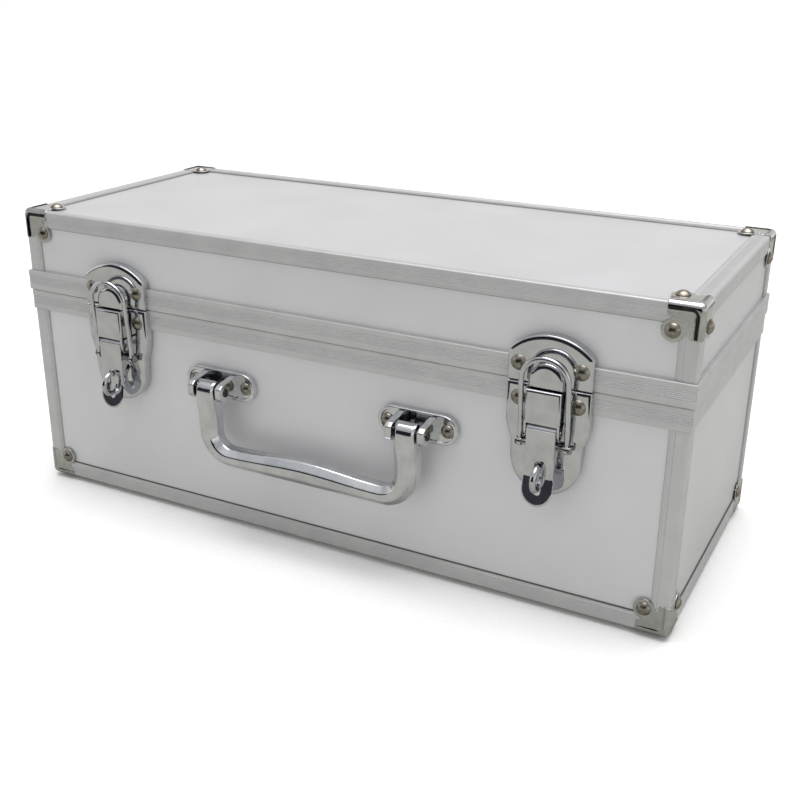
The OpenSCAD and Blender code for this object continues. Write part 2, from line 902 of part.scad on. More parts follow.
module latch_bail_pin(side) {
    color("gray") at_latch(side) translate([0, bail_pin_out, bail_pin_z]) {
        rod_x(bail_pin_r, 2 * bail_arch_r + 3);
        for (s = [-1, 1]) {
            translate([s * (bail_arch_r + 2), 0, 0]) rod_x(bail_pin_r + 0.6, 1);
        }
    }
}

// ---- Handle ----

// Cast bracket: a round-ended plate with two lugs
module handle_bracket(side) {
    end_x = (bracket_l - bracket_w) / 2;
    color("lightgray") at_handle(side) difference() {
        union() {
            outward(-board_in, handle_plate_out) {
                translate([-end_x, handle_z - bracket_w / 2]) square([2 * end_x, bracket_w]);
                for (s = [-1, 1]) {
                    translate([s * end_x, handle_z]) circle(bracket_w / 2);
                }
            }
            for (s = [-1, 1]) {
                translate([s * (lug_gap + lug_w) / 2, 0, 0]) across(lug_w) {
                    translate([handle_plate_out - over, handle_z - lug_r])
                        square([handle_out - handle_plate_out + over, 2 * lug_r]);
                    translate([handle_out, handle_z]) circle(lug_r);
                }
            }
        }
        translate([0, handle_out, handle_z]) rod_x(handle_pin_r + fixed_gap, bracket_l);
        for (s = [-1, 1]) {
            translate([s * handle_rivet_x, 0, handle_z]) rotate([90, 0, 0])
                cylinder(r = hole_r, h = 20, center = true);
        }
    }
}

module handle_pin(side) {
    color("gray") at_handle(side) translate([0, handle_out, handle_z])
        rod_x(handle_pin_r, lug_gap + 2 * lug_w - 0.4);
}

module handle_bracket_rivets() {
    color("tan") at_front() for (p = handle_points) {
        translate([p[0], 0, p[1]])
            rivet_out(corner_head_r, handle_plate_out, handle_plate_out + board_back);
    }
}

// Cross-section of the casting, w along the first axis, its long edges chamfered
module handle_section(w) {
    x = w / 2;
    y = leg_d / 2;
    c = leg_chamfer;
    polygon([[-x, c - y], [c - x, -y], [x - c, -y], [x, c - y],
        [x, y - c], [x - c, y], [c - x, y], [-x, y - c]]);
}

module handle() {
    grip_z = handle_z - handle_drop + leg_w / 2;
    bend_z = grip_z + leg_bend_r;
    bend_x = handle_x - leg_bend_r;
    color("lightgray") at_front() translate([0, handle_out, 0]) difference() {
        union() {
            for (s = [-1, 1]) {
                translate([s * handle_x, 0, handle_z]) rod_x(eye_r, leg_w);
                translate([s * handle_x, 0, bend_z]) linear_extrude(handle_z - bend_z)
                    handle_section(leg_w);
                translate([s * bend_x, 0, bend_z]) mirror([s < 0 ? 1 : 0, 0, 0]) rotate([90, 0, 0])
                    rotate_extrude(angle = -90) translate([leg_bend_r, 0]) handle_section(leg_w);
            }
            translate([0, 0, grip_z]) rotate([0, 90, 0])
                linear_extrude(2 * bend_x, center = true) handle_section(leg_w);
        }
        for (s = [-1, 1]) {
            translate([s * handle_x, 0, handle_z]) rod_x(handle_pin_r + run_gap, 2 * leg_w);
        }
    }
}

// ---- The assembly ----

base_bottom_panel();
base_front_panel();
base_back_panel();
base_left_panel();
base_right_panel();
base_upright_trims();
base_bottom_trims();
base_rim();
base_lining();
base_corners();
base_corner_rivets();
hinge_base_leaf(-1);  // hinge_left_base_leaf
hinge_base_leaf(1);  // hinge_right_base_leaf
hinge_pin(-1);  // hinge_left_pin
hinge_pin(1);  // hinge_right_pin
hinge_base_rivets();
latch_plate(-1);  // latch_left_plate
latch_plate(1);  // latch_right_plate
latch_bridge(-1);  // latch_left_bridge
latch_bridge(1);  // latch_right_bridge
latch_pivot_pin(-1);  // latch_left_pivot_pin
latch_pivot_pin(1);  // latch_right_pivot_pin
latch_padlock_ring(-1);  // latch_left_padlock_ring
latch_padlock_ring(1);  // latch_right_padlock_ring
latch_base_rivets();
handle_bracket(-1);  // handle_left_bracket
handle_bracket(1);  // handle_right_bracket
handle_pin(-1);  // handle_left_pin
handle_pin(1);  // handle_right_pin
handle_bracket_rivets();
lid_top_panel();
lid_front_panel();
lid_back_panel();
lid_left_panel();
lid_right_panel();
lid_upright_trims();
lid_top_trims();
lid_rim();
lid_lining();
lid_corners();
lid_corner_rivets();
hinge_lid_leaf(-1);  // hinge_left_lid_leaf
hinge_lid_leaf(1);  // hinge_right_lid_leaf
hinge_lid_rivets();
keeper_plate(-1);  // keeper_left_plate
keeper_plate(1);  // keeper_right_plate
keeper_catch(-1);  // keeper_left_catch
keeper_catch(1);  // keeper_right_catch
keeper_rivets();
latch_lever(-1);  // latch_left_lever
latch_lever(1);  // latch_right_lever
latch_bail(-1);  // latch_left_bail
latch_bail(1);  // latch_right_bail
latch_bail_pin(-1);  // latch_left_bail_pin
latch_bail_pin(1);  // latch_right_bail_pin
handle();
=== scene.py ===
import math

import bmesh
import bpy
from mathutils import Matrix, Vector


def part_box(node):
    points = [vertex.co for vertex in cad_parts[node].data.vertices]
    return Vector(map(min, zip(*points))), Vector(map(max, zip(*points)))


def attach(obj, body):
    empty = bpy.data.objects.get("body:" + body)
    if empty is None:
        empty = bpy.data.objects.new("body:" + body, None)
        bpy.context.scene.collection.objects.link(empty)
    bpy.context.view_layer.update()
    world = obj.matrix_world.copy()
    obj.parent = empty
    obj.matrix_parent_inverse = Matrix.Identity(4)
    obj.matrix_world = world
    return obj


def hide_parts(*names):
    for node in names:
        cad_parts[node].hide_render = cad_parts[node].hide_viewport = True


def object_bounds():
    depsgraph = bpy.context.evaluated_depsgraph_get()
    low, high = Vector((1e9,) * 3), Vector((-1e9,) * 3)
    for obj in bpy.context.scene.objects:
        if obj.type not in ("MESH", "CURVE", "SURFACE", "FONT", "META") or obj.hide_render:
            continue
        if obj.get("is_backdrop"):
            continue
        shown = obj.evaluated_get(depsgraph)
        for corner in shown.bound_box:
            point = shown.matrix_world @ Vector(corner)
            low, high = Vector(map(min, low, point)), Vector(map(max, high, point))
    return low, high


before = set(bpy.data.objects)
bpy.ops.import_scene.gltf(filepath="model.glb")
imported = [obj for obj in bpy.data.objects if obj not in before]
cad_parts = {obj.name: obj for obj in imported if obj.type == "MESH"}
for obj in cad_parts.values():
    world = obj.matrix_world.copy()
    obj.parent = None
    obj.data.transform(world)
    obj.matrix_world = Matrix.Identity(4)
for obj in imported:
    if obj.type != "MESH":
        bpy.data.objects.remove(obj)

cad_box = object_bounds()

# ---- Studio ----
# A pale matte floor under a wide white ceiling of light, as small goods are pictured on.
# Cloths before the case, which only the chrome sees, give it something dark to mirror.

scene = bpy.context.scene
scene.view_settings.view_transform = "Standard"
MM = 0.001


def linear(colour):
    """An sRGB hex colour as linear red, green, blue and alpha."""
    parts = [int(colour[i:i + 2], 16) / 255 for i in (1, 3, 5)]
    return tuple(c / 12.92 if c <= 0.04045 else ((c + 0.055) / 1.055) ** 2.4 for c in parts) + (1.0,)


def fill(tree, node, inputs):
    """Sets a node's inputs, each to a value or to a (node, output) link."""
    for key, value in inputs.items():
        if isinstance(value, tuple) and isinstance(value[0], bpy.types.Node):
            tree.links.new(value[0].outputs[value[1]], node.inputs[key])
        else:
            node.inputs[key].default_value = value


def add(tree, kind, inputs=None, stops=(), **settings):
    """Adds a shader node with its settings and inputs, and the (place, colour) stops of a ramp."""
    made = tree.nodes.new("ShaderNode" + kind)
    for key, value in settings.items():
        setattr(made, key, value)
    fill(tree, made, inputs or {})
    for i, (place, colour) in enumerate(stops):
        elements = made.color_ramp.elements
        element = elements[i] if i < len(elements) else elements.new(place)
        element.position = place
        element.color = linear(colour)
    return made


air = bpy.data.worlds.new("studio_air")
scene.world = air
air.use_nodes = True
air.node_tree.nodes.clear()
toward = add(air.node_tree, "TexCoord")
rise = add(air.node_tree, "SeparateXYZ", {"Vector": (toward, "Generated")})
DOME_STOPS = [(0.0, "#ffffff"), (0.25, "#dedcd6"), (0.6, "#aeb2b8"), (0.9, "#e8e8e8")]
dome = add(air.node_tree, "ValToRGB", {"Fac": (rise, "Z")}, DOME_STOPS)
glow = add(air.node_tree, "Background", {"Color": (dome, "Color"), "Strength": 1.0})
add(air.node_tree, "OutputWorld", {"Surface": (glow, "Background")})


def surface(name):
    """A new material: its node tree, its Principled shader, and coordinates in metres."""
    material = bpy.data.materials.new(name)
    material.use_nodes = True
    tree = material.node_tree
    tree.nodes.clear()
    shader = add(tree, "BsdfPrincipled")
    add(tree, "OutputMaterial", {"Surface": (shader, "BSDF")})
    metres = (add(tree, "TexCoord"), "Object")
    return material, tree, shader, metres


# Floor: seamless matte paper, with a fibre that only just shows.
PAPER_FIBRE = 2 * MM
paper, tree, shader, metres = surface("matte_paper")
fibre = add(tree, "TexNoise", {"Vector": metres, "Scale": 1 / PAPER_FIBRE, "Detail": 3.0})
tint = add(tree, "ValToRGB", {"Fac": (fibre, "Fac")}, [(0.3, "#f7f7f6"), (0.7, "#fcfcfb")])
fill(tree, shader, {"Base Color": (tint, "Color"), "Roughness": 0.9, "Specular IOR Level": 0.1})


def built(name, form, materials):
    """Turns a form into an object of these materials, in the scene."""
    mesh = bpy.data.meshes.new(name)
    form.to_mesh(mesh)
    form.free()
    for material in materials:
        mesh.materials.append(material)
    made = bpy.data.objects.new(name, mesh)
    scene.collection.objects.link(made)
    return made


FLOOR_R = 14.0
form = bmesh.new()
bmesh.ops.create_circle(form, cap_ends=True, segments=96, radius=FLOOR_R)
floor = built("floor", form, [paper])
floor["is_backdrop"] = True

# Cloths for the chrome to mirror: grey on the table, black at the table's end and behind it.
# The camera and the soft light don't see them.
FELT_CLOUD = 8 * MM


def felt(name, shades):
    """Wool felt, faintly uneven in tone."""
    material, tree, shader, metres = surface(name)
    nap = add(tree, "TexNoise", {"Vector": metres, "Scale": 1 / FELT_CLOUD})
    tint = add(tree, "ValToRGB", {"Fac": (nap, "Fac")}, [(0.3, shades[0]), (0.7, shades[1])])
    fill(tree, shader, {"Base Color": (tint, "Color"), "Roughness": 1.0})
    return material


grey_felt = felt("grey_felt", ("#a6a69f", "#aeaea7"))
black_felt = felt("black_felt", ("#0b0b18", "#131322"))
# Each cloth's name, felt, middle and size in metres, and its tip from flat in degrees.
CLOTHS = [
    ("table_cloth", grey_felt, (0.3, 0.72, 0.001), (4.4, 2.58), 0),
    ("end_cloth", black_felt, (-0.4, -1.635, 0.001), (5.0, 2.13), 0),
    ("wall_cloth", black_felt, (-0.4, -2.7, 0.78), (5.0, 1.56), 90),
    ("right_cloth", grey_felt, (0.83, -0.64, 0.002), (1.6, 0.18), 0),
    ("left_cloth", grey_felt, (-1.47, -0.64, 0.002), (1.6, 0.18), 0),
]
for name, material, place, size, tip in CLOTHS:
    form = bmesh.new()
    bmesh.ops.create_grid(form, x_segments=1, y_segments=1, size=0.5)
    cloth = built(name, form, [material])
    cloth.location = place
    cloth.scale = (size[0], size[1], 1)
    cloth.rotation_euler = (math.radians(tip), 0, 0)
    cloth.visible_camera = False
    cloth.visible_diffuse = False
    cloth.visible_shadow = False
    cloth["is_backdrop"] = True

# Each lamp's name, place and aim, its size in metres, its power in watts, and its colour.
# The ceiling light is the only one that shows in the chrome.
LAMPS = [
    ("ceiling_light", (0.2, 0.3, 1.7), (0, 0, 0.1), 1.7, 11.8, "#fffdfd"),
    ("front_light", (-0.3, -1.9, 0.8), (0, 0, 0.1), 1.0, 4.0, "#fffefa"),
]
for name, place, aim, size, power, colour in LAMPS:
    lamp = bpy.data.lights.new(name, "AREA")
    lamp.shape = "SQUARE"
    lamp.size = size
    lamp.energy = power
    lamp.color = linear(colour)[:3]
    holder = bpy.data.objects.new(name, lamp)
    holder.location = place
    holder.rotation_euler = (Vector(aim) - Vector(place)).to_track_quat("-Z", "Y").to_euler()
    holder.visible_glossy = name == "ceiling_light"
    scene.collection.objects.link(holder)

# A broad light from straight above keeps the paper white out to its edge.
sheet_light = bpy.data.lights.new("paper_light", "SUN")
sheet_light.energy = 1.3
sheet_light.angle = math.radians(50)
holder = bpy.data.objects.new("paper_light", sheet_light)
holder.location = (0, 0, 3)
scene.collection.objects.link(holder)

# The camera stands to the right of the case and above it, with a hint of roll.
CAMERA_AT = Vector((0.2958, -0.5491, 0.3136))
CAMERA_AIM = Vector((0.0101, 0.0016, 0.0650))
CAMERA_ROLL = 0.533
lens = bpy.data.cameras.new("camera")
lens.lens = 49.9
lens.sensor_width = 36.0
lens.clip_start = 0.02
camera = bpy.data.objects.new("camera", lens)
look = (CAMERA_AIM - CAMERA_AT).to_track_quat("-Z", "Y").to_matrix()
look = look @ Matrix.Rotation(math.radians(CAMERA_ROLL), 3, "Z")
camera.matrix_world = Matrix.Translation(CAMERA_AT) @ look.to_4x4()
scene.collection.objects.link(camera)
scene.camera = camera

# ---- Boards ----
# Ten thin plywood boards faced with a silver polyester laminate, held by the trims.
# The laminate is satin: it blurs what it mirrors, over a grain as fine as skin.

LAMINATE_GRAIN = 0.9 * MM
LAMINATE_CLOUD = 45 * MM
LAMINATE_RELIEF = 0.02 * MM
laminate, tree, shader, metres = surface("silver_laminate")
grain = add(tree, "TexNoise",
            {"Vector": metres, "Scale": 1 / LAMINATE_GRAIN, "Detail": 4.0, "Roughness": 0.6})
cloud = add(tree, "TexNoise", {"Vector": metres, "Scale": 1 / LAMINATE_CLOUD, "Detail": 3.0})
tint = add(tree, "ValToRGB", {"Fac": (cloud, "Fac")}, [(0.3, "#c2c2c4"), (0.7, "#c8c8ca")])
satin = add(tree, "MapRange",
            {"Value": (cloud, "Fac"), "From Min": 0.3, "From Max": 0.7, "To Min": 0.38, "To Max": 0.41})
relief = add(tree, "Bump", {"Height": (grain, "Fac"), "Strength": 0.5, "Distance": LAMINATE_RELIEF})
fill(tree, shader, {"Base Color": (tint, "Color"), "Metallic": 0.3, "Roughness": (satin, "Result"),
                    "Normal": (relief, "Normal")})


def dress(node, material):
    """Gives a CAD node that stays in view its material."""
    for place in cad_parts[node].material_slots:
        place.material = material


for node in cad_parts:
    if node.endswith("_panel"):
        dress(node, laminate)

# ---- Edge trims ----
# Thin L-section aluminium extrusions, one along every edge, riveted down under the corners.
# Satin anodised: a soft metal sheen drawn out along the run, with fine ribs on the long faces.

trim_low, trim_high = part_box("base_upright_trims")
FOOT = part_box("base_bottom_trims")[0].z / MM
HALF_W = trim_high.x / MM
HALF_D = (trim_high.y - trim_low.y) / 2 / MM
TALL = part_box("lid_top_trims")[1].z / MM - FOOT
# SEAM is the height of the split between base and lid, in the middle of its gap.
SEAM_GAP = 0.3
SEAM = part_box("lid_rim")[0].z / MM - FOOT - SEAM_GAP / 2

# Every piece is drawn in millimetres, from the middle of the case and the underside of its trims.
case = Matrix.Scale(MM, 4) @ Matrix.Translation((0, (trim_high.y + trim_low.y) / 2 / MM, FOOT))


def turned_to(right, up, out, at=(0, 0, 0)):
    """A placing whose three axes lie along the given directions."""
    return Matrix.Translation(at) @ Matrix((right, up, out)).transposed().to_4x4()


def frame_of(right, up, out, at=(0, 0, 0)):
    """A placing on the case, its axes along the given directions of the case."""
    return case @ turned_to(right, up, out, at)


DIE_LINE = 0.35 * MM
DIE_STRETCH = 0.004
DIE_RELIEF = 0.02 * MM
ANODISED_MOTTLE = 14 * MM


def anodised(name, along):
    """Satin aluminium with die lines along one axis, which streak the sheen that way."""
    material, tree, shader, metres = surface(name)
    stretch = [DIE_STRETCH if axis == along else 1.0 for axis in range(3)]
    drawn = add(tree, "Mapping", {"Vector": metres, "Scale": stretch})
    lines = add(tree, "TexNoise",
                {"Vector": (drawn, "Vector"), "Scale": 1 / DIE_LINE, "Detail": 2.0})
    mottle = add(tree, "TexNoise", {"Vector": metres, "Scale": 1 / ANODISED_MOTTLE, "Detail": 4.0})
    tone = add(tree, "ValToRGB", {"Fac": (mottle, "Fac")}, [(0.32, "#b9b9ba"), (0.68, "#c0c0c0")])
    # Painted shade: the attribute darkens the seams towards a dark grey.
    seam = add(tree, "Attribute", attribute_name="painted_shade")
    colour = add(tree, "Mix",
                 {"Factor": (seam, "Fac"), "A": (tone, "Color"), "B": linear("#45443f")},
                 data_type="RGBA")
    sheen = add(tree, "MapRange", {"Value": (lines, "Fac"), "From Min": 0.3, "From Max": 0.7,
                                   "To Min": 0.38, "To Max": 0.52})
    relief = add(tree, "Bump", {"Height": (lines, "Fac"), "Strength": 0.35, "Distance": DIE_RELIEF})
    fill(tree, shader, {"Base Color": (colour, "Result"), "Metallic": 0.5,
                        "Roughness": (sheen, "Result"), "Normal": (relief, "Normal")})
    return material


anodised_x = anodised("anodised_aluminium_drawn_across", 0)
anodised_y = anodised("anodised_aluminium_drawn_back", 1)
anodised_z = anodised("anodised_aluminium_drawn_up", 2)


def skin(form, rings, placing, closed=False):
    """A solid through matching rings, capped unless it closes on itself; gives back its faces."""
    rows = [[form.verts.new(placing @ Vector(point)) for point in ring] for ring in rings]
    pairs = list(zip(rows, rows[1:])) + ([(rows[-1], rows[0])] if closed else [])
    made = []
    for near, far in pairs:
        for i in range(len(near)):
            j = (i + 1) % len(near)
            made.append(form.faces.new((near[i], near[j], far[j], far[i])))
    if not closed:
        made.append(form.faces.new(rows[0][::-1]))
        made.append(form.faces.new(rows[-1]))
    return made


def piece(node, form, materials, body, crease=32):
    """Turns a form into the piece on its body that is seen in place of a CAD node."""
    bmesh.ops.recalc_face_normals(form, faces=form.faces)
    made = built("shown_" + node, form, materials)
    made.data.shade_smooth()
    made.data.set_sharp_from_angle(angle=math.radians(crease))
    level = made.modifiers.new("level_flats", "WEIGHTED_NORMAL")
    level.keep_sharp = True
    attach(made, body)
    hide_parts(node)


def bar(form, section, half, placing, mitre=0.0):
    """A bar with its section in (out, height), its ends splayed outwards by the mitre."""
    rings = [[(out, high, side * (half + mitre * out)) for out, high in section] for side in (-1, 1)]
    return skin(form, rings, placing)


def grooves(places, half_width, depth):
    """The (along, in) points of V grooves across a flat face."""
    points = []
    for place in places:
        points += [(place - half_width, 0), (place, -depth), (place + half_width, 0)]
    return points


TRIM_LEG = 10.0
FRONT_TOP_LEG = 4.5
TRIM_T = 1.2
TRIM_EDGE_R = 1.2
RIB_FROM, RIB_PITCH, RIB_HALF, RIB_DEEP = 3.3, 0.85, 0.22, 0.2
RIBS = [RIB_FROM + RIB_PITCH * i for i in range(5)]
UPRIGHT_LINES = [6.9]
# Past LIP_IN a leg's face drops a little; at its edge a seam beside the board is painted dark as shade.
LIP_IN, LIP_SLOPE, LIP_DROP = 8.3, 0.15, 0.35
SEAM_WIDE, SEAM_DEEP, SEAM_FALL = 0.45, 0.5, 0.2
UPRIGHT_STOP = 12.1
# How dark the painted shade in the seams is, on the lid, the base and the uprights.
LID_SEAM_SHADE, BASE_SEAM_SHADE, UPRIGHT_SEAM_SHADE = 0.5, 0.9, 0.2


def painted_shade_layer(form):
    """The layer that says how much painted shade darkens each point, from 0 to 1."""
    return form.verts.layers.float.get("painted_shade") or form.verts.layers.float.new("painted_shade")


def trim_leg_points(leg, ribs):
    """(distance from the edge, height over the face) along one leg's outer face, from the edge."""
    points = grooves([rib for rib in ribs if rib < leg - 1], RIB_HALF, RIB_DEEP)
    drop = LIP_DROP if leg > LIP_IN else 0.0
    if drop:
        points += [(LIP_IN, 0), (LIP_IN + LIP_SLOPE, -drop)]
    seam_at = leg - SEAM_WIDE
    return points + [(seam_at, -drop), (seam_at, -SEAM_DEEP), (leg, -SEAM_DEEP - SEAM_FALL)]


def trim_section(first, second, first_ribs, second_ribs):
    """An L section with its outer corner at the origin and its legs along -first and -second."""
    turns = [math.radians(15 * step) for step in range(7)]
    corner = [(TRIM_EDGE_R * (math.sin(turn) - 1), TRIM_EDGE_R * (math.cos(turn) - 1))
              for turn in turns]
    top = [(-away, high) for away, high in trim_leg_points(first, first_ribs)][::-1]
    side = [(high, -away) for away, high in trim_leg_points(second, second_ribs)]
    inner = [(-TRIM_T, -second), (-TRIM_T, -TRIM_T), (-first, -TRIM_T)]
    return top + corner + side + inner


X, Y, Z = Vector((1, 0, 0)), Vector((0, 1, 0)), Vector((0, 0, 1))
ribbed = trim_section(TRIM_LEG, TRIM_LEG, RIBS, RIBS)
fronted = trim_section(FRONT_TOP_LEG, TRIM_LEG, [], RIBS)
plain = trim_section(TRIM_LEG, TRIM_LEG, UPRIGHT_LINES, UPRIGHT_LINES)


def trim_run(form, section, along, half, corner_at, first, second, index, seam_shade):
    """One trim: its corner line at a place, its legs' faces towards first and second.

    The index picks its material, and the last argument says how dark the painted shade in its seams is.
    """
    painted_shade = painted_shade_layer(form)
    placing = frame_of(first, second, along, corner_at)
    unplaced = placing.inverted()
    for face in bar(form, section, half, placing):
        face.material_index = index
        for vert in face.verts:
            x, y, _ = unplaced @ vert.co
            # Points down in the seam get the painted shade.
            vert[painted_shade] = seam_shade if -max(x, y) > SEAM_DEEP - 0.02 else 0.0


for part, foot_z, up in (("base", 0.0, -Z), ("lid", TALL, Z)):
    flats = bmesh.new()
    seam_shade = LID_SEAM_SHADE if part == "lid" else BASE_SEAM_SHADE
    for side in (-1, 1):
        section = fronted if part == "lid" and side < 0 else ribbed
        long_at, end_at = (0, side * HALF_D, foot_z), (side * HALF_W, 0, foot_z)
        trim_run(flats, section, X, HALF_W - TRIM_LEG, long_at, Y * side, up, 0, seam_shade)
        trim_run(flats, ribbed, Y, HALF_D - TRIM_LEG, end_at, X * side, up, 1, seam_shade)
    node = "lid_top_trims" if part == "lid" else "base_bottom_trims"
    piece(node, flats, [anodised_x, anodised_y], part)
    uprights = bmesh.new()
    low, high = TRIM_LEG, SEAM - UPRIGHT_STOP
    if part == "lid":
        low, high = SEAM + UPRIGHT_STOP, TALL - TRIM_LEG
    for side in (-1, 1):
        for end in (-1, 1):
            middle = (side * HALF_W, end * HALF_D, (low + high) / 2)
            trim_run(uprights, plain, Z, (high - low) / 2, middle, X * side, Y * end, 0, UPRIGHT_SEAM_SHADE)
    piece(part + "_upright_trims", uprights, [anodised_z], part)

# ---- Rims ----
# Aluminium channel extrusions, mitred at the corners, that close the mouths of base and lid.
# Six fine ribs run along each; a tongue on the base's rim enters a groove in the lid's.

RIM_H = 12.0
MITRE_GAP = 0.1
BOARD_BACK = 5.2
TONGUE_NEAR, TONGUE_FAR, TONGUE_H = 3.6, 4.8, 2.5
GROOVE_SIDE, GROOVE_OVER, GROOVE_WALL = 0.6, 1.0, 1.5
BASE_RIM_OUT = 0.5
LID_RIM_OUT = 1.2
EASE = 0.4
RIM_RIB_FROM, RIM_RIB_PITCH, RIM_RIB_HALF, RIM_RIB_DEEP = 3.7, 0.95, 0.28, 0.26
rim_ribs = [RIM_RIB_FROM + RIM_RIB_PITCH * i for i in range(6)]


def rim_face(out, low, high):
    """The ribbed outer face of a rim in (out, height), from its lower edge to its upper one."""
    ribs = [(out + deep, low + along) for along, deep in grooves(rim_ribs, RIM_RIB_HALF, RIM_RIB_DEEP)]
    return [(out - EASE, low), (out, low + EASE)] + ribs + [(out, high - EASE), (out - EASE, high)]


rim_low, rim_high = SEAM - RIM_H, SEAM + RIM_H
base_top = SEAM - SEAM_GAP / 2
tongue_top = base_top + TONGUE_H
rim_back = BOARD_BACK + TRIM_T
base_rim_section = rim_face(BASE_RIM_OUT, rim_low, base_top) + [
    (-TONGUE_NEAR, base_top), (-TONGUE_NEAR, tongue_top - EASE),
    (-TONGUE_NEAR - EASE, tongue_top), (-TONGUE_FAR + EASE, tongue_top),
    (-TONGUE_FAR, tongue_top - EASE), (-TONGUE_FAR, base_top),
    (-rim_back, base_top), (-rim_back, rim_low), (-BOARD_BACK, rim_low),
    (-BOARD_BACK, base_top - TRIM_T), (-TRIM_T, base_top - TRIM_T), (-TRIM_T, rim_low)]
lid_low = SEAM + SEAM_GAP / 2
groove_top = lid_low + TONGUE_H + GROOVE_OVER
groove_far, groove_near = TONGUE_FAR + GROOVE_SIDE, TONGUE_NEAR - GROOVE_SIDE
lid_rim_section = rim_face(LID_RIM_OUT, lid_low, rim_high) + [
    (-TRIM_T, rim_high), (-TRIM_T, groove_top + GROOVE_WALL), (-BOARD_BACK, groove_top + GROOVE_WALL),
    (-BOARD_BACK, rim_high), (-rim_back, rim_high), (-rim_back, lid_low),
    (-groove_far, lid_low), (-groove_far, groove_top), (-groove_near, groove_top),
    (-groove_near, lid_low)]
for part, section in (("base", base_rim_section), ("lid", lid_rim_section)):
    form = bmesh.new()
    for side in (-1, 1):
        long_side = frame_of(Y * side, Z, X, (0, side * HALF_D, 0))
        for face in bar(form, section, HALF_W - MITRE_GAP / 2, long_side, 1.0):
            face.material_index = 0
        end_side = frame_of(X * side, Z, Y, (side * HALF_W, 0, 0))
        for face in bar(form, section, HALF_D - MITRE_GAP / 2, end_side, 1.0):
            face.material_index = 1
    piece(part + "_rim", form, [anodised_x, anodised_y], part)

# ---- Corner brackets ----
# Nickel-plated steel, pressed into a three-armed cap. The arms stand proud along the edges and
# the lobe round each rivet is pressed down onto the board, with a rounded step between them.

BRACKET_T = 1.0
LOBE_DROP = 0.65
ARM_LONG = 16.5
ARM_WIDE = 6.0
RIVET_IN = 13.0
LOBE_R = 5.5
CAP_R = 2.5
# The step starts this far in from an arm's edge, turns round this bend, and is this wide.
CAP_BAND, CAP_BEND, CAP_STEP = 1.4, 3.8, 2.3
# How far in from the outline, and how far down, the sheet's eased edge passes.
CAP_EDGE = [(0.4, 0.0), (0.18, 0.06), (0.05, 0.17), (0.0, 0.32)]
CAP_RINGS, CAP_INNER_RINGS, CAP_INNER_GAP = 26, 12, 0.02
WELD_DIST = 0.002 * MM
PIT = 0.9 * MM
PIT_PATCH = 6 * MM
PIT_RELIEF = 0.05 * MM


def metal(name, colours, rough, patch, grain, relief_deep, pits=0.0, step_shade=False):
    """A plated metal, clouded in tone and gloss by the patch, and uneven by the grain, both in mm."""
    material, tree, shader, metres = surface(name)
    cloud = add(tree, "TexNoise", {"Vector": metres, "Scale": 1 / (patch * MM), "Detail": 4.0})
    tone = add(tree, "ValToRGB", {"Fac": (cloud, "Fac")}, [(0.34, colours[0]), (0.62, colours[1])])
    gloss = add(tree, "MapRange", {"Value": (cloud, "Fac"), "From Min": 0.3, "From Max": 0.7,
                                   "To Min": rough[0], "To Max": rough[1]})
    waves = add(tree, "TexNoise", {"Vector": metres, "Scale": 1 / (grain * MM), "Detail": 2.0})
    relief = add(tree, "Bump",
                 {"Height": (waves, "Fac"), "Strength": 1.0, "Distance": relief_deep * MM})
    colour = clean = (tone, "Color")
    # Painted shade: where asked, the point's shade attribute darkens the colour almost to black, in
    # patches.
    if step_shade:
        held = add(tree, "Attribute", attribute_name="painted_shade")
        patchy = add(tree, "Math", {0: (held, "Fac"), 1: (cloud, "Fac")}, operation="MULTIPLY")
        amount = add(tree, "MapRange",
                     {"Value": (patchy, "Value"), "From Min": 0.03, "From Max": 0.2,
                      "To Min": 0.0, "To Max": 0.96})
        step_shaded = add(tree, "Mix",
                     {"Factor": (amount, "Result"), "A": clean, "B": linear("#1c191a")},
                     data_type="RGBA")
        colour = (step_shaded, "Result")
    if pits:
        cells = add(tree, "TexVoronoi", {"Vector": metres, "Scale": 1 / PIT})
        rare = add(tree, "TexNoise", {"Vector": metres, "Scale": 1 / PIT_PATCH, "Detail": 3.0})
        thin = add(tree, "MapRange", {"Value": (rare, "Fac"), "From Min": 0.56, "From Max": 0.66,
                                      "To Min": 0.0, "To Max": pits})
        hole = add(tree, "Math",
                   {0: (cells, "Distance"), 1: (thin, "Result")}, operation="LESS_THAN")
        pitted = add(tree, "Mix", {"Factor": (hole, "Value"), "A": clean, "B": linear("#2b2724")},
                     data_type="RGBA")
        colour = (pitted, "Result")
        relief = add(tree, "Bump",
                     {"Height": (hole, "Value"), "Normal": (relief, "Normal"), "Strength": 1.0,
                      "Distance": PIT_RELIEF}, invert=True)
    fill(tree, shader, {"Base Color": colour, "Metallic": 1.0, "Roughness": (gloss, "Result"),
                        "Normal": (relief, "Normal")})
    return material


# Bright nickel over pressed steel: nearly a mirror, duller than chrome and hazed by handling.
# Painted shade darkens the step of each cap, in patches, most on the lid.
bright_nickel = metal("bright_nickel_plate", ("#b9b9b8", "#cacac9"), (0.1, 0.2), 5, 1.6, 0.03,
                      step_shade=True)
# How dark the painted shade in the caps' steps is, on the lid and on the base.
LID_STEP_SHADE, BASE_STEP_SHADE = 1.0, 0.15


def bracket_rim():
    """The outline on one face, as (a, b) distances from the corner, from one arm to the other."""
    half = [(ARM_LONG, i * 0.6) for i in range(9)]
    # The arm's end turns round into its side, and a small notch parts it from the lobe.
    half += [(ARM_LONG - 0.15, 5.35), (ARM_LONG - 0.55, 5.8), (ARM_LONG - 1.2, ARM_WIDE),
             (14.2, ARM_WIDE), (13.9, 6.3), (14.2, 6.9), (14.6, 7.4)]
    for step in range(13):
        turn = math.radians(-66 + 111 * step / 12)
        half.append((RIVET_IN + LOBE_R * math.cos(turn), RIVET_IN + LOBE_R * math.sin(turn)))
    return half + [(b, a) for a, b in half[-2::-1]]


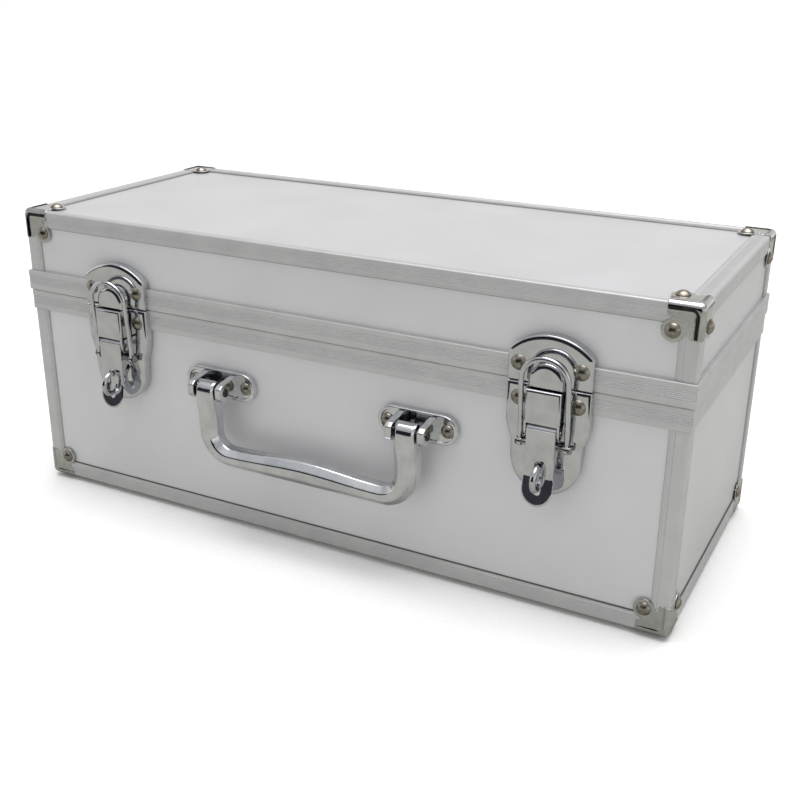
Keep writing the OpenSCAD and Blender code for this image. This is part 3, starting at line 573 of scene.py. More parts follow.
def bracket_step(a, b):
    """How far (a, b) is down the step from the arms, at 0, to the lobe, at 1."""
    bend_at = CAP_BAND + CAP_BEND
    past = CAP_BEND - math.hypot(max(bend_at - a, 0), max(bend_at - b, 0))
    return min(max(past / CAP_STEP, 0), 1)


def bracket_height(a, b):
    """How far the sheet's outer face stands off the case at (a, b)."""
    down = bracket_step(a, b)
    return BRACKET_T - LOBE_DROP * down * down * (3 - 2 * down)


def on_corner(a, b, height):
    """A point of the rounded corner, over (a, b) on its Z face."""
    lean = Vector((max(CAP_R - a, 0), max(CAP_R - b, 0), CAP_R)).normalized()
    return Vector((-max(a, CAP_R), -max(b, CAP_R), -CAP_R)) + (CAP_R + height) * lean


def bracket(form, placing, step_shade_strength):
    """One cap, a fan of rays from the corner on each of its three faces, outside and inside."""
    painted_shade = painted_shade_layer(form)
    for turn in range(3):
        rows = []
        for a, b in bracket_rim():
            reach = math.hypot(a, b)
            column = []
            for i in range(CAP_RINGS + 1):
                part = (1 - 0.55 / reach) * i / CAP_RINGS
                # Painted shade, darkest half way down the step.
                step_shade = step_shade_strength * math.sin(math.pi * bracket_step(a * part, b * part)) ** 2
                column.append((part, bracket_height(a * part, b * part), step_shade))
            rim_height = bracket_height(a, b)
            column += [(1 - inwards / reach, rim_height - drop, 0.0) for inwards, drop in CAP_EDGE]
            for i in range(CAP_INNER_RINGS, -1, -1):
                column.append((i / CAP_INNER_RINGS, CAP_INNER_GAP, 0.0))
            row = []
            for part, height, step_shade in column:
                point = on_corner(a * part, b * part, height)
                row.append(form.verts.new(placing @ Vector([point[(k - turn) % 3] for k in range(3)])))
                row[-1][painted_shade] = step_shade
            rows.append(row)
        for near, far in zip(rows, rows[1:]):
            for i in range(len(near) - 1):
                form.faces.new((near[i], near[i + 1], far[i + 1], far[i]))


def corner_places(top):
    """The placing of each of four corners, the case lying towards -X -Y -Z of it."""
    z = TALL if top else 0.0
    return [frame_of(X * sx, Y * sy, Z if top else -Z, (sx * HALF_W, sy * HALF_D, z))
            for sx in (-1, 1) for sy in (-1, 1)]


for part in ("base", "lid"):
    form = bmesh.new()
    for placing in corner_places(part == "lid"):
        bracket(form, placing, LID_STEP_SHADE if part == "lid" else BASE_STEP_SHADE)
    bmesh.ops.remove_doubles(form, verts=form.verts, dist=WELD_DIST)
    piece(part + "_corners", form, [bright_nickel], part, 60)

# ---- Rivets ----
# Dome-headed steel rivets, closed inside the case over a small washer. Their nickel has gone
# brown and dull with handling.

worn_nickel = metal("worn_nickel_rivet", ("#847e74", "#a39d92"), (0.2, 0.32), 1.8, 1.2, 0.025, 0.2)
HEAD_H = 2.0
SHANK_R = 1.6
TAIL_R, TAIL_H, TAIL_EASE = 2.8, 1.0, 0.25
CORNER_HEAD_R = 3.7
SUNK_HEAD = 0.1
ROUND = 32


def disc(radius, height, count=ROUND):
    """A ring of points about the third axis."""
    return [(radius * math.cos(math.tau * i / count), radius * math.sin(math.tau * i / count), height)
            for i in range(count)]


def rivet(form, head_r, stack, placing):
    """A rivet through a stack, its head standing on the third axis as a cap of a ball."""
    head = []
    ball_r = (head_r ** 2 + HEAD_H ** 2) / (2 * HEAD_H)
    for step in range(8):
        away = head_r * math.cos(math.radians(11 + 11 * step))
        head.append(disc(away, HEAD_H - ball_r + math.sqrt(ball_r ** 2 - away ** 2)))
    lip = [disc(head_r - 0.1, 0.0), disc(head_r, 0.1)]
    shank = [disc(SHANK_R, -stack), disc(SHANK_R, 0.0)]
    tail = [disc(TAIL_R - TAIL_EASE, -stack - TAIL_H), disc(TAIL_R, -stack - TAIL_H + TAIL_EASE),
            disc(TAIL_R, -stack)]
    skin(form, tail + shank + lip + head, placing)


# The heads sit on the caps' lobes, except the four under the case, which it stands on.
for part in ("base", "lid"):
    form = bmesh.new()
    for placing in corner_places(part == "lid"):
        for right, up, out in ((X, Y, Z), (Y, Z, X), (Z, X, Y)):
            seat = BRACKET_T if part == "base" and out is Z else BRACKET_T - LOBE_DROP + SUNK_HEAD
            at = -RIVET_IN * (right + up) + seat * out
            rivet(form, CORNER_HEAD_R, BRACKET_T + BOARD_BACK, placing @ turned_to(right, up, out, at))
    piece(part + "_corner_rivets", form, [worn_nickel], part)

# ---- Hinges ----
# Two pressed steel butt hinges across the back of the rims, nickel-plated, each leaf held by
# three small rivets. Their knuckles turn on a bright steel pin.


def soften(node, material, width):
    """Dresses a CAD node that stays, and eases its sharp edges."""
    dress(node, material)
    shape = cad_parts[node]
    weld = shape.modifiers.new("weld", "WELD")
    weld.merge_threshold = WELD_DIST / 2
    ease = shape.modifiers.new("eased_edges", "BEVEL")
    ease.width = width * MM
    ease.segments = 2
    ease.limit_method = "ANGLE"
    ease.angle_limit = math.radians(40)
    ease.harden_normals = True


HINGE_EASE = 0.2
bright_steel = metal("turned_bright_steel", ("#8d8b88", "#a9a7a3"), (0.18, 0.3), 2.5, 0.7, 0.03)
for side in ("left", "right"):
    soften(f"hinge_{side}_base_leaf", bright_nickel, HINGE_EASE)
    soften(f"hinge_{side}_lid_leaf", bright_nickel, HINGE_EASE)
    soften(f"hinge_{side}_pin", bright_steel, HINGE_EASE)
HINGE_X, HINGE_RIVET_DX, HINGE_RIVET_Z, LEAF_T = 120.0, 16.0, 7.5, 1.5
HINGE_HEAD_R = 3.04
back = frame_of(-X, Z, Y, (0, HALF_D, 0))
for part, way, rim_out in (("base", -1, BASE_RIM_OUT), ("lid", 1, LID_RIM_OUT)):
    form = bmesh.new()
    stack = LEAF_T + rim_out + BOARD_BACK + TRIM_T
    for middle in (-HINGE_X, HINGE_X):
        for across in (-HINGE_RIVET_DX, 0.0, HINGE_RIVET_DX):
            at = Matrix.Translation((middle + across, SEAM + way * HINGE_RIVET_Z, rim_out + LEAF_T))
            rivet(form, HINGE_HEAD_R, stack, back @ at)
    piece(f"hinge_{part}_rivets", form, [worn_nickel], part)

# ---- Linings ----
# Sheets of charcoal EVA foam glued inside base and lid. The skin is matte and closed, with the
# faint orange-peel of foam that was sliced and heat-sealed.

FOAM_CELL = 0.7 * MM
FOAM_RELIEF = 0.08 * MM
FOAM_CLOUD = 12 * MM
foam, tree, shader, metres = surface("charcoal_eva_foam")
cells = add(tree, "TexVoronoi", {"Vector": metres, "Scale": 1 / FOAM_CELL})
shade = add(tree, "TexNoise", {"Vector": metres, "Scale": 1 / FOAM_CLOUD, "Detail": 4.0})
tint = add(tree, "ValToRGB", {"Fac": (shade, "Fac")}, [(0.35, "#303133"), (0.65, "#3a3b3d")])
relief = add(tree, "Bump",
             {"Height": (cells, "Distance"), "Strength": 0.6, "Distance": FOAM_RELIEF})
fill(tree, shader, {"Base Color": (tint, "Color"), "Roughness": 0.85, "Sheen Weight": 0.15,
                    "Normal": (relief, "Normal")})
dress("base_lining", foam)
dress("lid_lining", foam)

# ---- Latch plates and keepers ----
# Shallow pans of pressed steel, one on the base and one on the lid, riveted through the rims and
# boards. Chromed: a clear mirror whose rolled edge shows as one bright and one dark line.
# Their outlines are drawn from the middle of the latch, and heights from the case's underside.

chrome = metal("bright_chrome_plate", ("#c6c7ca", "#d3d4d7"), (0.03, 0.08), 9, 7, 0.05, 0.05)
front = frame_of(X, Z, -Y, (0, -HALF_D, 0))
LATCH_X = 132.4
LATCHES = (("left", -LATCH_X), ("right", LATCH_X))
PLATE_OUT, PLATE_SKIN, PLATE_DEEP, PLATE_ROLL = 4.7, 1.2, 1.0, 2.2
PAN_FOOT = -1.15
FOOT_ROLL, FOOT_NEAR = 0.25, 0.01
PLATE_HALF = 21.3
PLATE_TOP = SEAM - 0.2
KEEPER_LOW = SEAM + 0.4
KEEPER_TOP = SEAM + 25.3
KEEPER_R = 29.3
LATCH_HEAD_R = 4.0


def rounded(corners, arc_steps=0):
    """An outline from (x, y, radius) corners, each turned with an arc of as many steps as asked."""
    points = []
    for i, (x, y, radius) in enumerate(corners):
        here = Vector((x, y))
        before = (Vector(corners[i - 1][:2]) - here).normalized()
        after = (Vector(corners[(i + 1) % len(corners)][:2]) - here).normalized()
        opening = before.angle(after)
        if radius <= 0 or abs(math.pi - opening) < 0.01:
            points.append((x, y))
            continue
        centre = here + (before + after).normalized() * radius / math.sin(opening / 2)
        start = here + before * radius / math.tan(opening / 2) - centre
        end = here + after * radius / math.tan(opening / 2) - centre
        turn = start.angle_signed(end)
        steps = arc_steps or max(3, int(abs(turn) / math.radians(9)))
        for step in range(steps + 1):
            spin = Matrix.Rotation(-turn * step / steps, 2)
            points.append(tuple(centre + spin @ start))
    return points


def arc(x, y, radius, start, end, steps):
    """The points round an arc, its turns given in degrees."""
    turns = [math.radians(start + (end - start) * i / steps) for i in range(steps + 1)]
    return [(x + radius * math.cos(turn), y + radius * math.sin(turn)) for turn in turns]


def inset(outline, gap):
    """The outline moved inwards by the gap, corner by corner."""
    moved = []
    for i, point in enumerate(outline):
        here = Vector(point)
        along = (here - Vector(outline[i - 1])).normalized()
        ahead = (Vector(outline[(i + 1) % len(outline)]) - here).normalized()
        left, next_left = Vector((-along.y, along.x)), Vector((-ahead.y, ahead.x))
        moved.append(tuple(here + gap * (left + next_left) / (1 + max(left.dot(next_left), -0.5))))
    return moved


def rolled(top, deep, wide=None, steps=6):
    """(inset, out) pairs round a rolled edge, as deep and wide as given, up to the face."""
    wide = wide or deep
    turns = [math.radians(90 * i / steps) for i in range(steps + 1)]
    return [(wide * (1 - math.cos(turn)), top - deep + deep * math.sin(turn)) for turn in turns]


def pan(form, outline, profile, placing, floor=None, foot=None):
    """A solid over an outline, through (inset, out) steps.

    An out of None is the floor's height there. A foot is a straight lower edge that is rolled
    over less than the others.
    """
    rings = []
    for gap, out in profile:
        ring = inset(outline, gap)
        if foot is not None:
            ring = [(x, foot + gap * FOOT_ROLL if y < foot + gap + FOOT_NEAR else y) for x, y in ring]
        rings.append([(x, y, floor(x, y) if out is None else out) for x, y in ring])
    return skin(form, rings, placing)


# Through a hollow plate, from under its face, round its foot, to its face.
pressed_plate = [(PLATE_SKIN, PLATE_OUT - PLATE_SKIN), (PLATE_SKIN, None), (0.0, None)]
pressed_plate += rolled(PLATE_OUT, PLATE_DEEP, PLATE_ROLL, 8)


# Outline of the plate on the base: square shoulders, a waist, and a round lower end.
SHOULDER = [(PLATE_HALF, SEAM - 21.0, 4.5), (18.4, SEAM - 30.0, 6.0)]
END_R, END_Z = 18.0, SEAM - 38.9
plate_points = rounded([(-END_R, END_Z, 0)] + [(-x, z, r) for x, z, r in SHOULDER[::-1]]
                       + [(-PLATE_HALF, PLATE_TOP, 0), (PLATE_HALF, PLATE_TOP, 0)]
                       + SHOULDER + [(END_R, END_Z, 0)])
plate_points = (plate_points + arc(0, END_Z, END_R, 0, -180, 24)[1:-1])[::-1]


def base_floor(x, z):
    """Where the plate's foot rests: on the rim's face, or lower down on the board."""
    return BASE_RIM_OUT if z > rim_low - MITRE_GAP else PAN_FOOT


def lid_floor(x, z):
    """Where the keeper's foot rests: on the rim's face, or higher up on the board."""
    return LID_RIM_OUT if z < rim_high + MITRE_GAP else PAN_FOOT


# Outline of the keeper on the lid: a square foot at the split, and a wide arch over it.
spring = math.degrees(math.acos(PLATE_HALF / KEEPER_R))
keeper_points = [(-PLATE_HALF, KEEPER_LOW), (PLATE_HALF, KEEPER_LOW)]
keeper_points += arc(0, KEEPER_TOP - KEEPER_R, KEEPER_R, spring, 180 - spring, 36)


def front_at(x, z=0.0, out=0.0):
    """A placing on the front of the case, its third axis outwards."""
    return front @ Matrix.Translation((x, z, out))


for side, x in LATCHES:
    form = bmesh.new()
    pan(form, plate_points, pressed_plate, front_at(x), base_floor)
    piece(f"latch_{side}_plate", form, [chrome], "base")
    form = bmesh.new()
    pan(form, keeper_points, pressed_plate, front_at(x), lid_floor)
    piece(f"keeper_{side}_plate", form, [chrome], "lid")

# Their rivets, larger than the corner ones, two in each plate.
for part, node, across, high in (("base", "latch_base_rivets", 15.0, SEAM - 7.9),
                                 ("lid", "keeper_rivets", 15.7, SEAM + 9.7)):
    form = bmesh.new()
    for _, x in LATCHES:
        for way in (-1, 1):
            at = front_at(x + way * across, high, PLATE_OUT)
            rivet(form, LATCH_HEAD_R, PLATE_OUT + rim_back, at)
    piece(node, form, [worn_nickel], part)

# ---- Catches ----
# A D-shaped block pressed out of each keeper, its edges rolled well over, that the bail drops
# round when the latch is closed.

CATCH_HALF = 9.0
CATCH_LOW = SEAM + 0.2
CATCH_ARCH_Z = SEAM + 3.8
CATCH_OUT = 9.6
catch_edge = [(0.0, PLATE_OUT)] + rolled(CATCH_OUT, 1.5, 2.6, 8)
catch_points = [(-CATCH_HALF, CATCH_LOW), (CATCH_HALF, CATCH_LOW)]
catch_points += arc(0, CATCH_ARCH_Z, CATCH_HALF, 0, 180, 24)
for side, x in LATCHES:
    form = bmesh.new()
    pan(form, catch_points, catch_edge, front_at(x), foot=CATCH_LOW)
    piece(f"keeper_{side}_catch", form, [chrome], "lid")

# ---- Bridges and pivot pins ----
# A block with rolled edges, pressed out of the plate over the head of each lever. Two cheeks
# reach down from it past its face and hold the bright pivot pin.

BRIDGE_HALF = 9.0
BRIDGE_OUT = 12.0
BRIDGE_LOW = SEAM - 17.5
CHEEK_T = 1.2
PIN_EASE = 0.25
PIVOT_OUT, PIVOT_Z = 9.0, SEAM - 21.1
KNUCKLE_R = 3.2


def cheek(form, outline, thickness, x, edge=0.3):
    """A plate standing edge-on at x, drawn in (out, height), its faces towards the sides."""
    near = rolled(thickness / 2, edge, steps=3)
    far = [(gap, -out) for gap, out in near[::-1]]
    pan(form, outline, far + near, front_at(x) @ turned_to(Z, Y, -X))


bridge_points = [(-BRIDGE_HALF, BRIDGE_LOW), (BRIDGE_HALF, BRIDGE_LOW), (BRIDGE_HALF, PLATE_TOP),
                 (-BRIDGE_HALF, PLATE_TOP)]
bridge_edge = [(0.0, PLATE_OUT - 0.2)] + rolled(BRIDGE_OUT, 1.2, 1.5)
cheek_top, cheek_low = BRIDGE_LOW + 1.5, PIVOT_Z - KNUCKLE_R
cheek_points = rounded([(PLATE_OUT, cheek_low, 0.3), (PIVOT_OUT + 2.6, cheek_low, 3.0),
                        (BRIDGE_OUT, PIVOT_Z + 0.6, 2.0), (BRIDGE_OUT, cheek_top, 0.0),
                        (PLATE_OUT, cheek_top, 0.3)])
for side, x in LATCHES:
    form = bmesh.new()
    pan(form, bridge_points, bridge_edge, front_at(x), foot=BRIDGE_LOW)
    for way in (-1, 1):
        cheek(form, cheek_points, CHEEK_T, x + way * (BRIDGE_HALF - CHEEK_T / 2))
    piece(f"latch_{side}_bridge", form, [chrome], "base")
    soften(f"latch_{side}_pivot_pin", bright_steel, PIN_EASE)

# ---- Levers ----
# Steel folded into a channel with a rolled head. Its face is slightly crowned, and its thumb tab
# is bent outwards at a crease; a slot lets the padlock ring stand through both.

LEVER_HALF = 7.5
LEVER_OUT = 12.3
LEVER_T = 1.2
CREASE_Z = SEAM - 44.5
TAB_R = 8.0
TAB_LOW = SEAM - 59.1
TAB_LEAN = math.radians(12)
SLOT_R = 2.2
SLOT_LOW, SLOT_HIGH = SEAM - 53.5, SEAM - 36.0
BAIL_PIN_OUT, BAIL_PIN_Z = 7.4, SEAM - 29.3
FACE_EDGE, FACE_CROWN = 0.9, 0.55
SHEET_WELD = 0.004
# Half the lever's head, in (along, radius) from its middle outwards.
HEAD_HALF = [(7.1, 3.2), (7.38, 3.08), (7.5, 2.8)]


def lever_half(z):
    """Half the lever's width at a height."""
    if z >= CREASE_Z:
        return LEVER_HALF
    if z > TAB_LOW + TAB_R:
        return TAB_R - (TAB_R - LEVER_HALF) * max(0.0, 1 - (CREASE_Z - z) / 0.8)
    return math.sqrt(max(TAB_R ** 2 - (TAB_LOW + TAB_R - z) ** 2, 0.02))


def slot_half(z):
    """Half the slot's width at a height, nothing above and below it."""
    if not SLOT_LOW < z < SLOT_HIGH:
        return 0.0
    past = max(SLOT_LOW + SLOT_R - z, z - SLOT_HIGH + SLOT_R, 0.0)
    return math.sqrt(max(SLOT_R ** 2 - past ** 2, 0.0))


def lever_out(x, z):
    """Where the lever's outer face stands, rolled over at its edges and bent at the crease."""
    below = max(CREASE_Z - z, 0.0)
    out = LEVER_OUT + below * math.tan(TAB_LEAN)
    near = LEVER_HALF - abs(x)
    if below > 0:
        near = TAB_R - math.hypot(x, max(TAB_LOW + TAB_R - z, 0.0))
    near = min(max(near, 0.0), FACE_EDGE)
    return out - FACE_EDGE * FACE_CROWN * (1 - math.sqrt(1 - (1 - near / FACE_EDGE) ** 2))


# The heights of the face's rows: even over the flats, and close at the crease and round ends.
heights = {PIVOT_Z + 1.2, PIVOT_Z, CREASE_Z + 0.35, CREASE_Z - 0.35, CREASE_Z, CREASE_Z - 0.8}
heights |= {CREASE_Z + 1.5 + 1.1 * i for i in range(19)} | {CREASE_Z - 1.6 - 0.8 * i for i in range(6)}
for step in range(13):
    swing = math.radians(7.5 * step)
    heights.add(TAB_LOW + TAB_R - TAB_R * math.sin(swing) * 0.999)
    heights.add(SLOT_LOW + SLOT_R - SLOT_R * math.sin(swing))
    heights.add(SLOT_HIGH - SLOT_R + SLOT_R * math.sin(swing))
heights = sorted(heights, reverse=True)
ACROSS = [0.0, 0.2, 0.4, 0.6, 0.75, 0.86, 0.93, 0.98, 1.0]


def lever_face(form, placing):
    """The face and tab as one skin, given its thickness inwards."""
    sheet = bmesh.new()
    for way in (-1, 1):
        rows = []
        for z in heights:
            wide, gap = lever_half(z), slot_half(z)
            places = [gap + (wide - gap) * part for part in ACROSS]
            rows.append([sheet.verts.new((way * x, z, lever_out(x, z))) for x in places])
        for upper, lower in zip(rows, rows[1:]):
            for i in range(len(ACROSS) - 1):
                sheet.faces.new((upper[i], upper[i + 1], lower[i + 1], lower[i]))
    bmesh.ops.remove_doubles(sheet, verts=sheet.verts, dist=SHEET_WELD)
    bmesh.ops.recalc_face_normals(sheet, faces=sheet.faces)
    if sum(face.normal.z for face in sheet.faces) < 0:
        bmesh.ops.reverse_faces(sheet, faces=sheet.faces)
    bmesh.ops.solidify(sheet, geom=sheet.faces, thickness=LEVER_T)
    bmesh.ops.recalc_face_normals(sheet, faces=sheet.faces)
    bmesh.ops.transform(sheet, matrix=placing, verts=sheet.verts)
    mesh = bpy.data.meshes.new("sheet")
    sheet.to_mesh(mesh)
    sheet.free()
    form.from_mesh(mesh)
    bpy.data.meshes.remove(mesh)


def turned(form, half, placing, count=ROUND):
    """A turned solid, even about its middle, its axis across the case; half is (along, radius)."""
    profile = [(-along, radius) for along, radius in half[::-1]] + half
    rings = [[(along, py, px) for px, py, _ in disc(radius, 0, count)] for along, radius in profile]
    return skin(form, rings, placing)


side_points = rounded([(LEVER_OUT - 0.5, PIVOT_Z, 0.0), (5.8, PIVOT_Z, 0.0),
                       (5.0, BAIL_PIN_Z, 2.2), (6.4, BAIL_PIN_Z - 2.6, 2.0),
                       (LEVER_OUT - LEVER_T, CREASE_Z + 3, 0.5), (LEVER_OUT - 0.5, CREASE_Z + 3, 0.2)])
for side, x in LATCHES:
    form = bmesh.new()
    lever_face(form, front_at(x))
    for way in (-1, 1):
        cheek(form, side_points, LEVER_T, x + way * (LEVER_HALF - LEVER_T / 2))
    turned(form, HEAD_HALF, front_at(x, PIVOT_Z, PIVOT_OUT))
    piece(f"latch_{side}_lever", form, [chrome], f"lever_{side}")

# ---- Bails and their pins ----
# A bent wire arch, plated bright, flattened into an eye at each foot. A headed pin through the
# lever's cheeks carries it, and the arch hooks over the catch.

WIRE_R = 1.35
ARCH_R = 11.9
LEG_L = 33.3
LEG_STEPS, ARCH_STEPS = 6, 32
BAIL_TILT = math.radians(4.85)
# A foot of the bail, in (rise, half-width, half-depth) from its eye up to the round wire.
FOOT_SIZES = [(0.6, 1.0, 1.9), (1.8, 1.0, 1.95), (3.2, 1.05, 1.7), (5.0, 1.2, 1.45),
              (7.0, WIRE_R, WIRE_R)]
FOOT_TOP = 8.0
# Half the eye and half the pin, in (along, radius) from the middle outwards.
EYE_HALF = [(0.7, 2.4), (0.88, 2.34), (1.0, 2.1)]
BAIL_PIN_HALF = [(13.38, 1.4), (13.4, 2.0), (13.95, 2.0), (14.25, 1.75), (14.4, 1.2)]


def sweep(form, path, sizes, placing, closed=False, count=20):
    """A round or oval bar along a path, its half-widths given along and across the path's plane."""
    points = [Vector(p) for p in path]
    third = len(points) // 3
    plane = (points[third] - points[0]).cross(points[2 * len(points) // 3] - points[0]).normalized()
    rings = []
    for i, point in enumerate(points):
        ahead = points[(i + 1) % len(points)] if closed or i + 1 < len(points) else point
        behind = points[i - 1] if closed or i > 0 else point
        along = (ahead - behind).normalized()
        side = plane.cross(along).normalized()
        wide, deep = sizes[i]
        rings.append([point + side * wide * math.cos(math.tau * k / count)
                      + plane * deep * math.sin(math.tau * k / count) for k in range(count)])
    return skin(form, rings, placing, closed)


for side, x in LATCHES:
    pin_at = front_at(x, BAIL_PIN_Z, BAIL_PIN_OUT)
    leaned = pin_at @ Matrix.Rotation(BAIL_TILT, 4, "X")
    form = bmesh.new()
    path = [(-ARCH_R, rise, 0) for rise, _, _ in FOOT_SIZES]
    path += [(-ARCH_R, FOOT_TOP + (LEG_L - FOOT_TOP) * i / LEG_STEPS, 0) for i in range(LEG_STEPS)]
    foot_long = len(path)
    for step in range(ARCH_STEPS + 1):
        swing = math.pi * step / ARCH_STEPS
        path.append((-ARCH_R * math.cos(swing), LEG_L + ARCH_R * math.sin(swing), 0))
    path += [(-u, v, w) for u, v, w in path[:foot_long][::-1]]
    sizes = [(wide, deep) for _, wide, deep in FOOT_SIZES]
    sizes += [(WIRE_R, WIRE_R)] * (len(path) - 2 * len(FOOT_SIZES)) + sizes[::-1]
    sweep(form, path, sizes, leaned)
    for way in (-1, 1):
        turned(form, EYE_HALF, leaned @ Matrix.Translation((way * ARCH_R, 0, 0)))
    piece(f"latch_{side}_bail", form, [chrome], f"bail_{side}")
    form = bmesh.new()
    turned(form, BAIL_PIN_HALF, pin_at)
    piece(f"latch_{side}_bail_pin", form, [bright_steel], f"bail_{side}")

# ---- Padlock rings ----
# A welded wire eye on a short post, standing out through the lever's slot so that a padlock's
# shackle keeps the lever shut.

RING_R, RING_WIRE_R = 5.88, 1.6
RING_OUT, RING_Z = 13.5, SEAM - 44.5
# The post, in (radius, height) from its weld up into the ring.
POST = [(2.6, 0.0), (2.4, 0.35), (1.75, 0.7), (1.5, 1.2), (1.5, RING_OUT - RING_R - PLATE_OUT)]
loop = [(0, y, x) for x, y, _ in disc(RING_R, 0, 56)]
for side, x in LATCHES:
    form = bmesh.new()
    sizes = [(RING_WIRE_R, RING_WIRE_R)] * len(loop)
    sweep(form, loop, sizes, front_at(x, RING_Z, RING_OUT), closed=True)
    skin(form, [disc(*step) for step in POST], front_at(x, RING_Z, PLATE_OUT))
    piece(f"latch_{side}_padlock_ring", form, [chrome], "base")

# ---- Handle brackets ----
# Zinc castings, chromed. Each is a round-ended plate with a raised border and a dished field,
# two rivets sunk in it, and two square-nosed lugs that carry a turned pin.

cast_chrome = metal("cast_zinc_chromed", ("#cdced1", "#dcdde0"), (0.09, 0.17), 8, 4.5, 0.07, 0.2)
oiled_steel = metal("oiled_dark_steel", ("#3c3a39", "#5d5a57"), (0.2, 0.34), 2.5, 0.7, 0.03)
HANDLE_X, HANDLE_Z, HANDLE_OUT = 62.0, SEAM - 35.3, 13.0
HANDLE_SIDES = (("left", -HANDLE_X), ("right", HANDLE_X))
BRACKET_L, BRACKET_W, BRACKET_OUT = 46.0, 16.7, 3.0
LUG_IN, LUG_W, LUG_EDGE = 7.2, 4.0, 0.7
LUG_FOOT = 1.5
BRACKET_RIVET_IN, BRACKET_RIVET_SUNK = 17.3, 0.4
# Half a pin, in (along, radius) from its middle out to its recessed end.
HANDLE_PIN_HALF = [(11.0, 2.3), (11.6, 2.25), (11.72, 1.95), (11.65, 1.7), (11.3, 1.35), (11.3, 0.3)]
end_x = (BRACKET_L - BRACKET_W) / 2
stadium = arc(end_x, 0, BRACKET_W / 2, -90, 90, 18) + arc(-end_x, 0, BRACKET_W / 2, 90, 270, 18)
border = [(0.0, PAN_FOOT)] + rolled(BRACKET_OUT, 0.9, steps=5)
border += [(1.9, BRACKET_OUT - 0.1), (2.3, BRACKET_OUT - 0.75)]
lug_points = rounded([
    (LUG_FOOT, HANDLE_Z - 5.6, 0.0), (HANDLE_OUT + 3.0, HANDLE_Z - 5.0, 2.6),
    (HANDLE_OUT + 5.0, HANDLE_Z - 2.2, 2.2), (HANDLE_OUT + 5.0, HANDLE_Z + 3.2, 1.0),
    (HANDLE_OUT + 2.4, HANDLE_Z + 5.0, 1.4), (LUG_FOOT, HANDLE_Z + 7.0, 0.0)])
rivets = bmesh.new()
for side, x in HANDLE_SIDES:
    form = bmesh.new()
    pan(form, stadium, border, front_at(x, HANDLE_Z))
    for way in (-1, 1):
        cheek(form, lug_points, LUG_W, x + way * (LUG_IN + LUG_W / 2), LUG_EDGE)
        at = front_at(x + way * BRACKET_RIVET_IN, HANDLE_Z, BRACKET_OUT - BRACKET_RIVET_SUNK)
        rivet(rivets, CORNER_HEAD_R, BRACKET_OUT + BOARD_BACK, at)
    piece(f"handle_{side}_bracket", form, [cast_chrome], "base")
    form = bmesh.new()
    turned(form, HANDLE_PIN_HALF, front_at(x, HANDLE_Z, HANDLE_OUT))
    piece(f"handle_{side}_pin", form, [oiled_steel], "base")
piece("handle_bracket_rivets", rivets, [worn_nickel], "base")

# ---- Handle ----
# One zinc casting with both legs and the grip, linished and chromed. Flat front facets run into
# chamfers; the grip swells in the middle, and fine pits show where the plating is thin.

EYE_TOP_R, EYE_W = 5.6, 11.4
LEG_W, LEG_D = 13.0, 12.0
GRIP_LOW = HANDLE_Z - 43.2
GRIP_ENDS, GRIP_SWELL = 11.0, 2.6
BEND_R = 14.5
FACE_D = 6.0
# How fast a leg reaches its full depth and width below the eye.
LEG_DEEPENS, LEG_WIDENS = 3.0, 2.2
# The eye's squarer section gives way to the leg's over this much height, from this far down.
BLEND_FROM, BLEND_LONG = 5.0, 10.0


def handle_section(flat, deep, soft):
    """The casting's section: half its front facet's width, its sides' depth, its edges' radius."""
    half = LEG_W / 2
    return rounded([(-half, -3.2, 1.2), (-3.4, -FACE_D, 1.2), (3.4, -FACE_D, 1.2), (half, -3.2, 1.2),
                    (half, deep, soft), (flat, FACE_D, soft), (-flat, FACE_D, soft),
                    (-half, deep, soft)], 6)


eye_section = handle_section(4.9, 4.4, 1.0)
leg_section = handle_section(2.5, 2.3, 2.4)
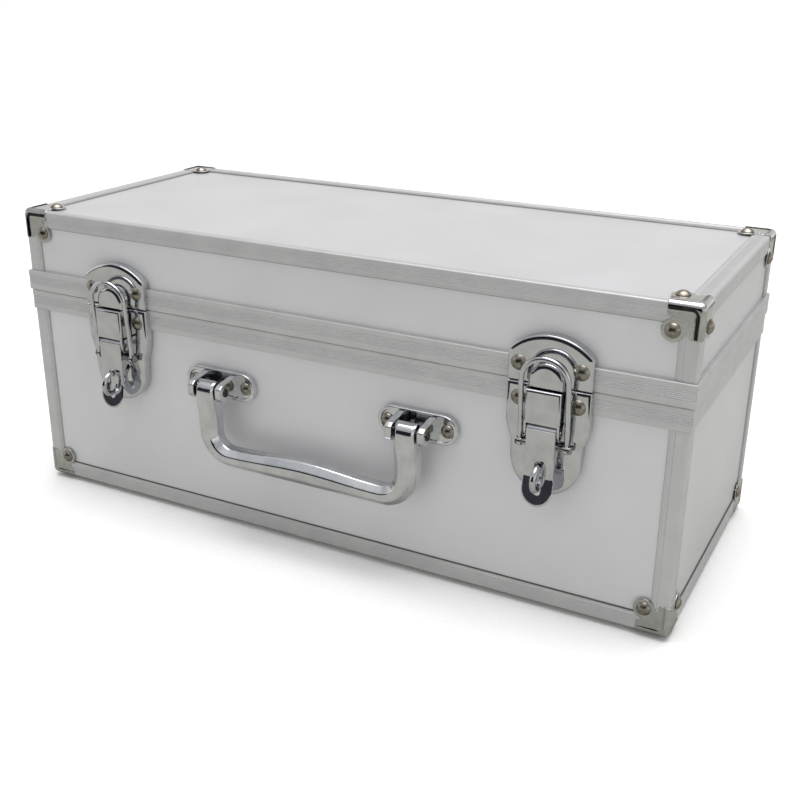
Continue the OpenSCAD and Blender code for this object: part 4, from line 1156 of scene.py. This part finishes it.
# Each station is its place, the turn of its section, and the section's width and depth.
stations = []
for step in range(9):
    rise = math.radians(86 - 86 * step / 8)
    top = HANDLE_Z + EYE_TOP_R * math.sin(rise)
    stations.append((-HANDLE_X, top, 0.0, EYE_W, 2 * EYE_TOP_R * math.cos(rise)))
bend_z = GRIP_LOW + GRIP_ENDS / 2 + BEND_R
for step in range(1, 7):
    part = step / 7
    depth = 2 * EYE_TOP_R + (LEG_D - 2 * EYE_TOP_R) * min(1, LEG_DEEPENS * part)
    wide = EYE_W + (LEG_W - EYE_W) * min(1, LEG_WIDENS * part)
    stations.append((-HANDLE_X, HANDLE_Z + (bend_z - HANDLE_Z) * part, 0.0, wide, depth))
bend_x = HANDLE_X - BEND_R
for step in range(15):
    swing = math.radians(90 * step / 14)
    wide = LEG_W + (GRIP_ENDS - LEG_W) * step / 14
    stations.append((-bend_x - BEND_R * math.cos(swing), bend_z - BEND_R * math.sin(swing),
                     swing, wide, LEG_D))
for step in range(1, 17):
    part = step / 16
    swell = GRIP_ENDS + GRIP_SWELL * math.sin(math.pi / 2 * part) ** 2
    stations.append((-bend_x * (1 - part), GRIP_LOW + swell / 2, math.pi / 2, swell, LEG_D))
stations += [(-u, v, math.pi - swing, wide, deep) for u, v, swing, wide, deep in stations[-2::-1]]
rings = []
for u, v, swing, wide, deep in stations:
    away = Vector((math.cos(swing), math.sin(swing), 0)) * wide / LEG_W
    outwards = Vector((0, 0, deep / LEG_D))
    blend = min(max((HANDLE_Z - BLEND_FROM - v) / BLEND_LONG, 0), 1)
    ring = []
    for from_eye, from_leg in zip(eye_section, leg_section):
        across, out = Vector(from_eye).lerp(Vector(from_leg), blend)
        ring.append(Vector((u, v, 0)) + away * across + outwards * out)
    rings.append(ring)
form = bmesh.new()
skin(form, rings, front_at(0, 0, HANDLE_OUT))
piece("handle", form, [cast_chrome], "handle", 24)

# ---- Size ----
# The box of the whole object, beside the box of the CAD model that it must keep to.

lowest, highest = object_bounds()
sizes = {"cad": [list(corner) for corner in cad_box], "visual": [list(lowest), list(highest)]}
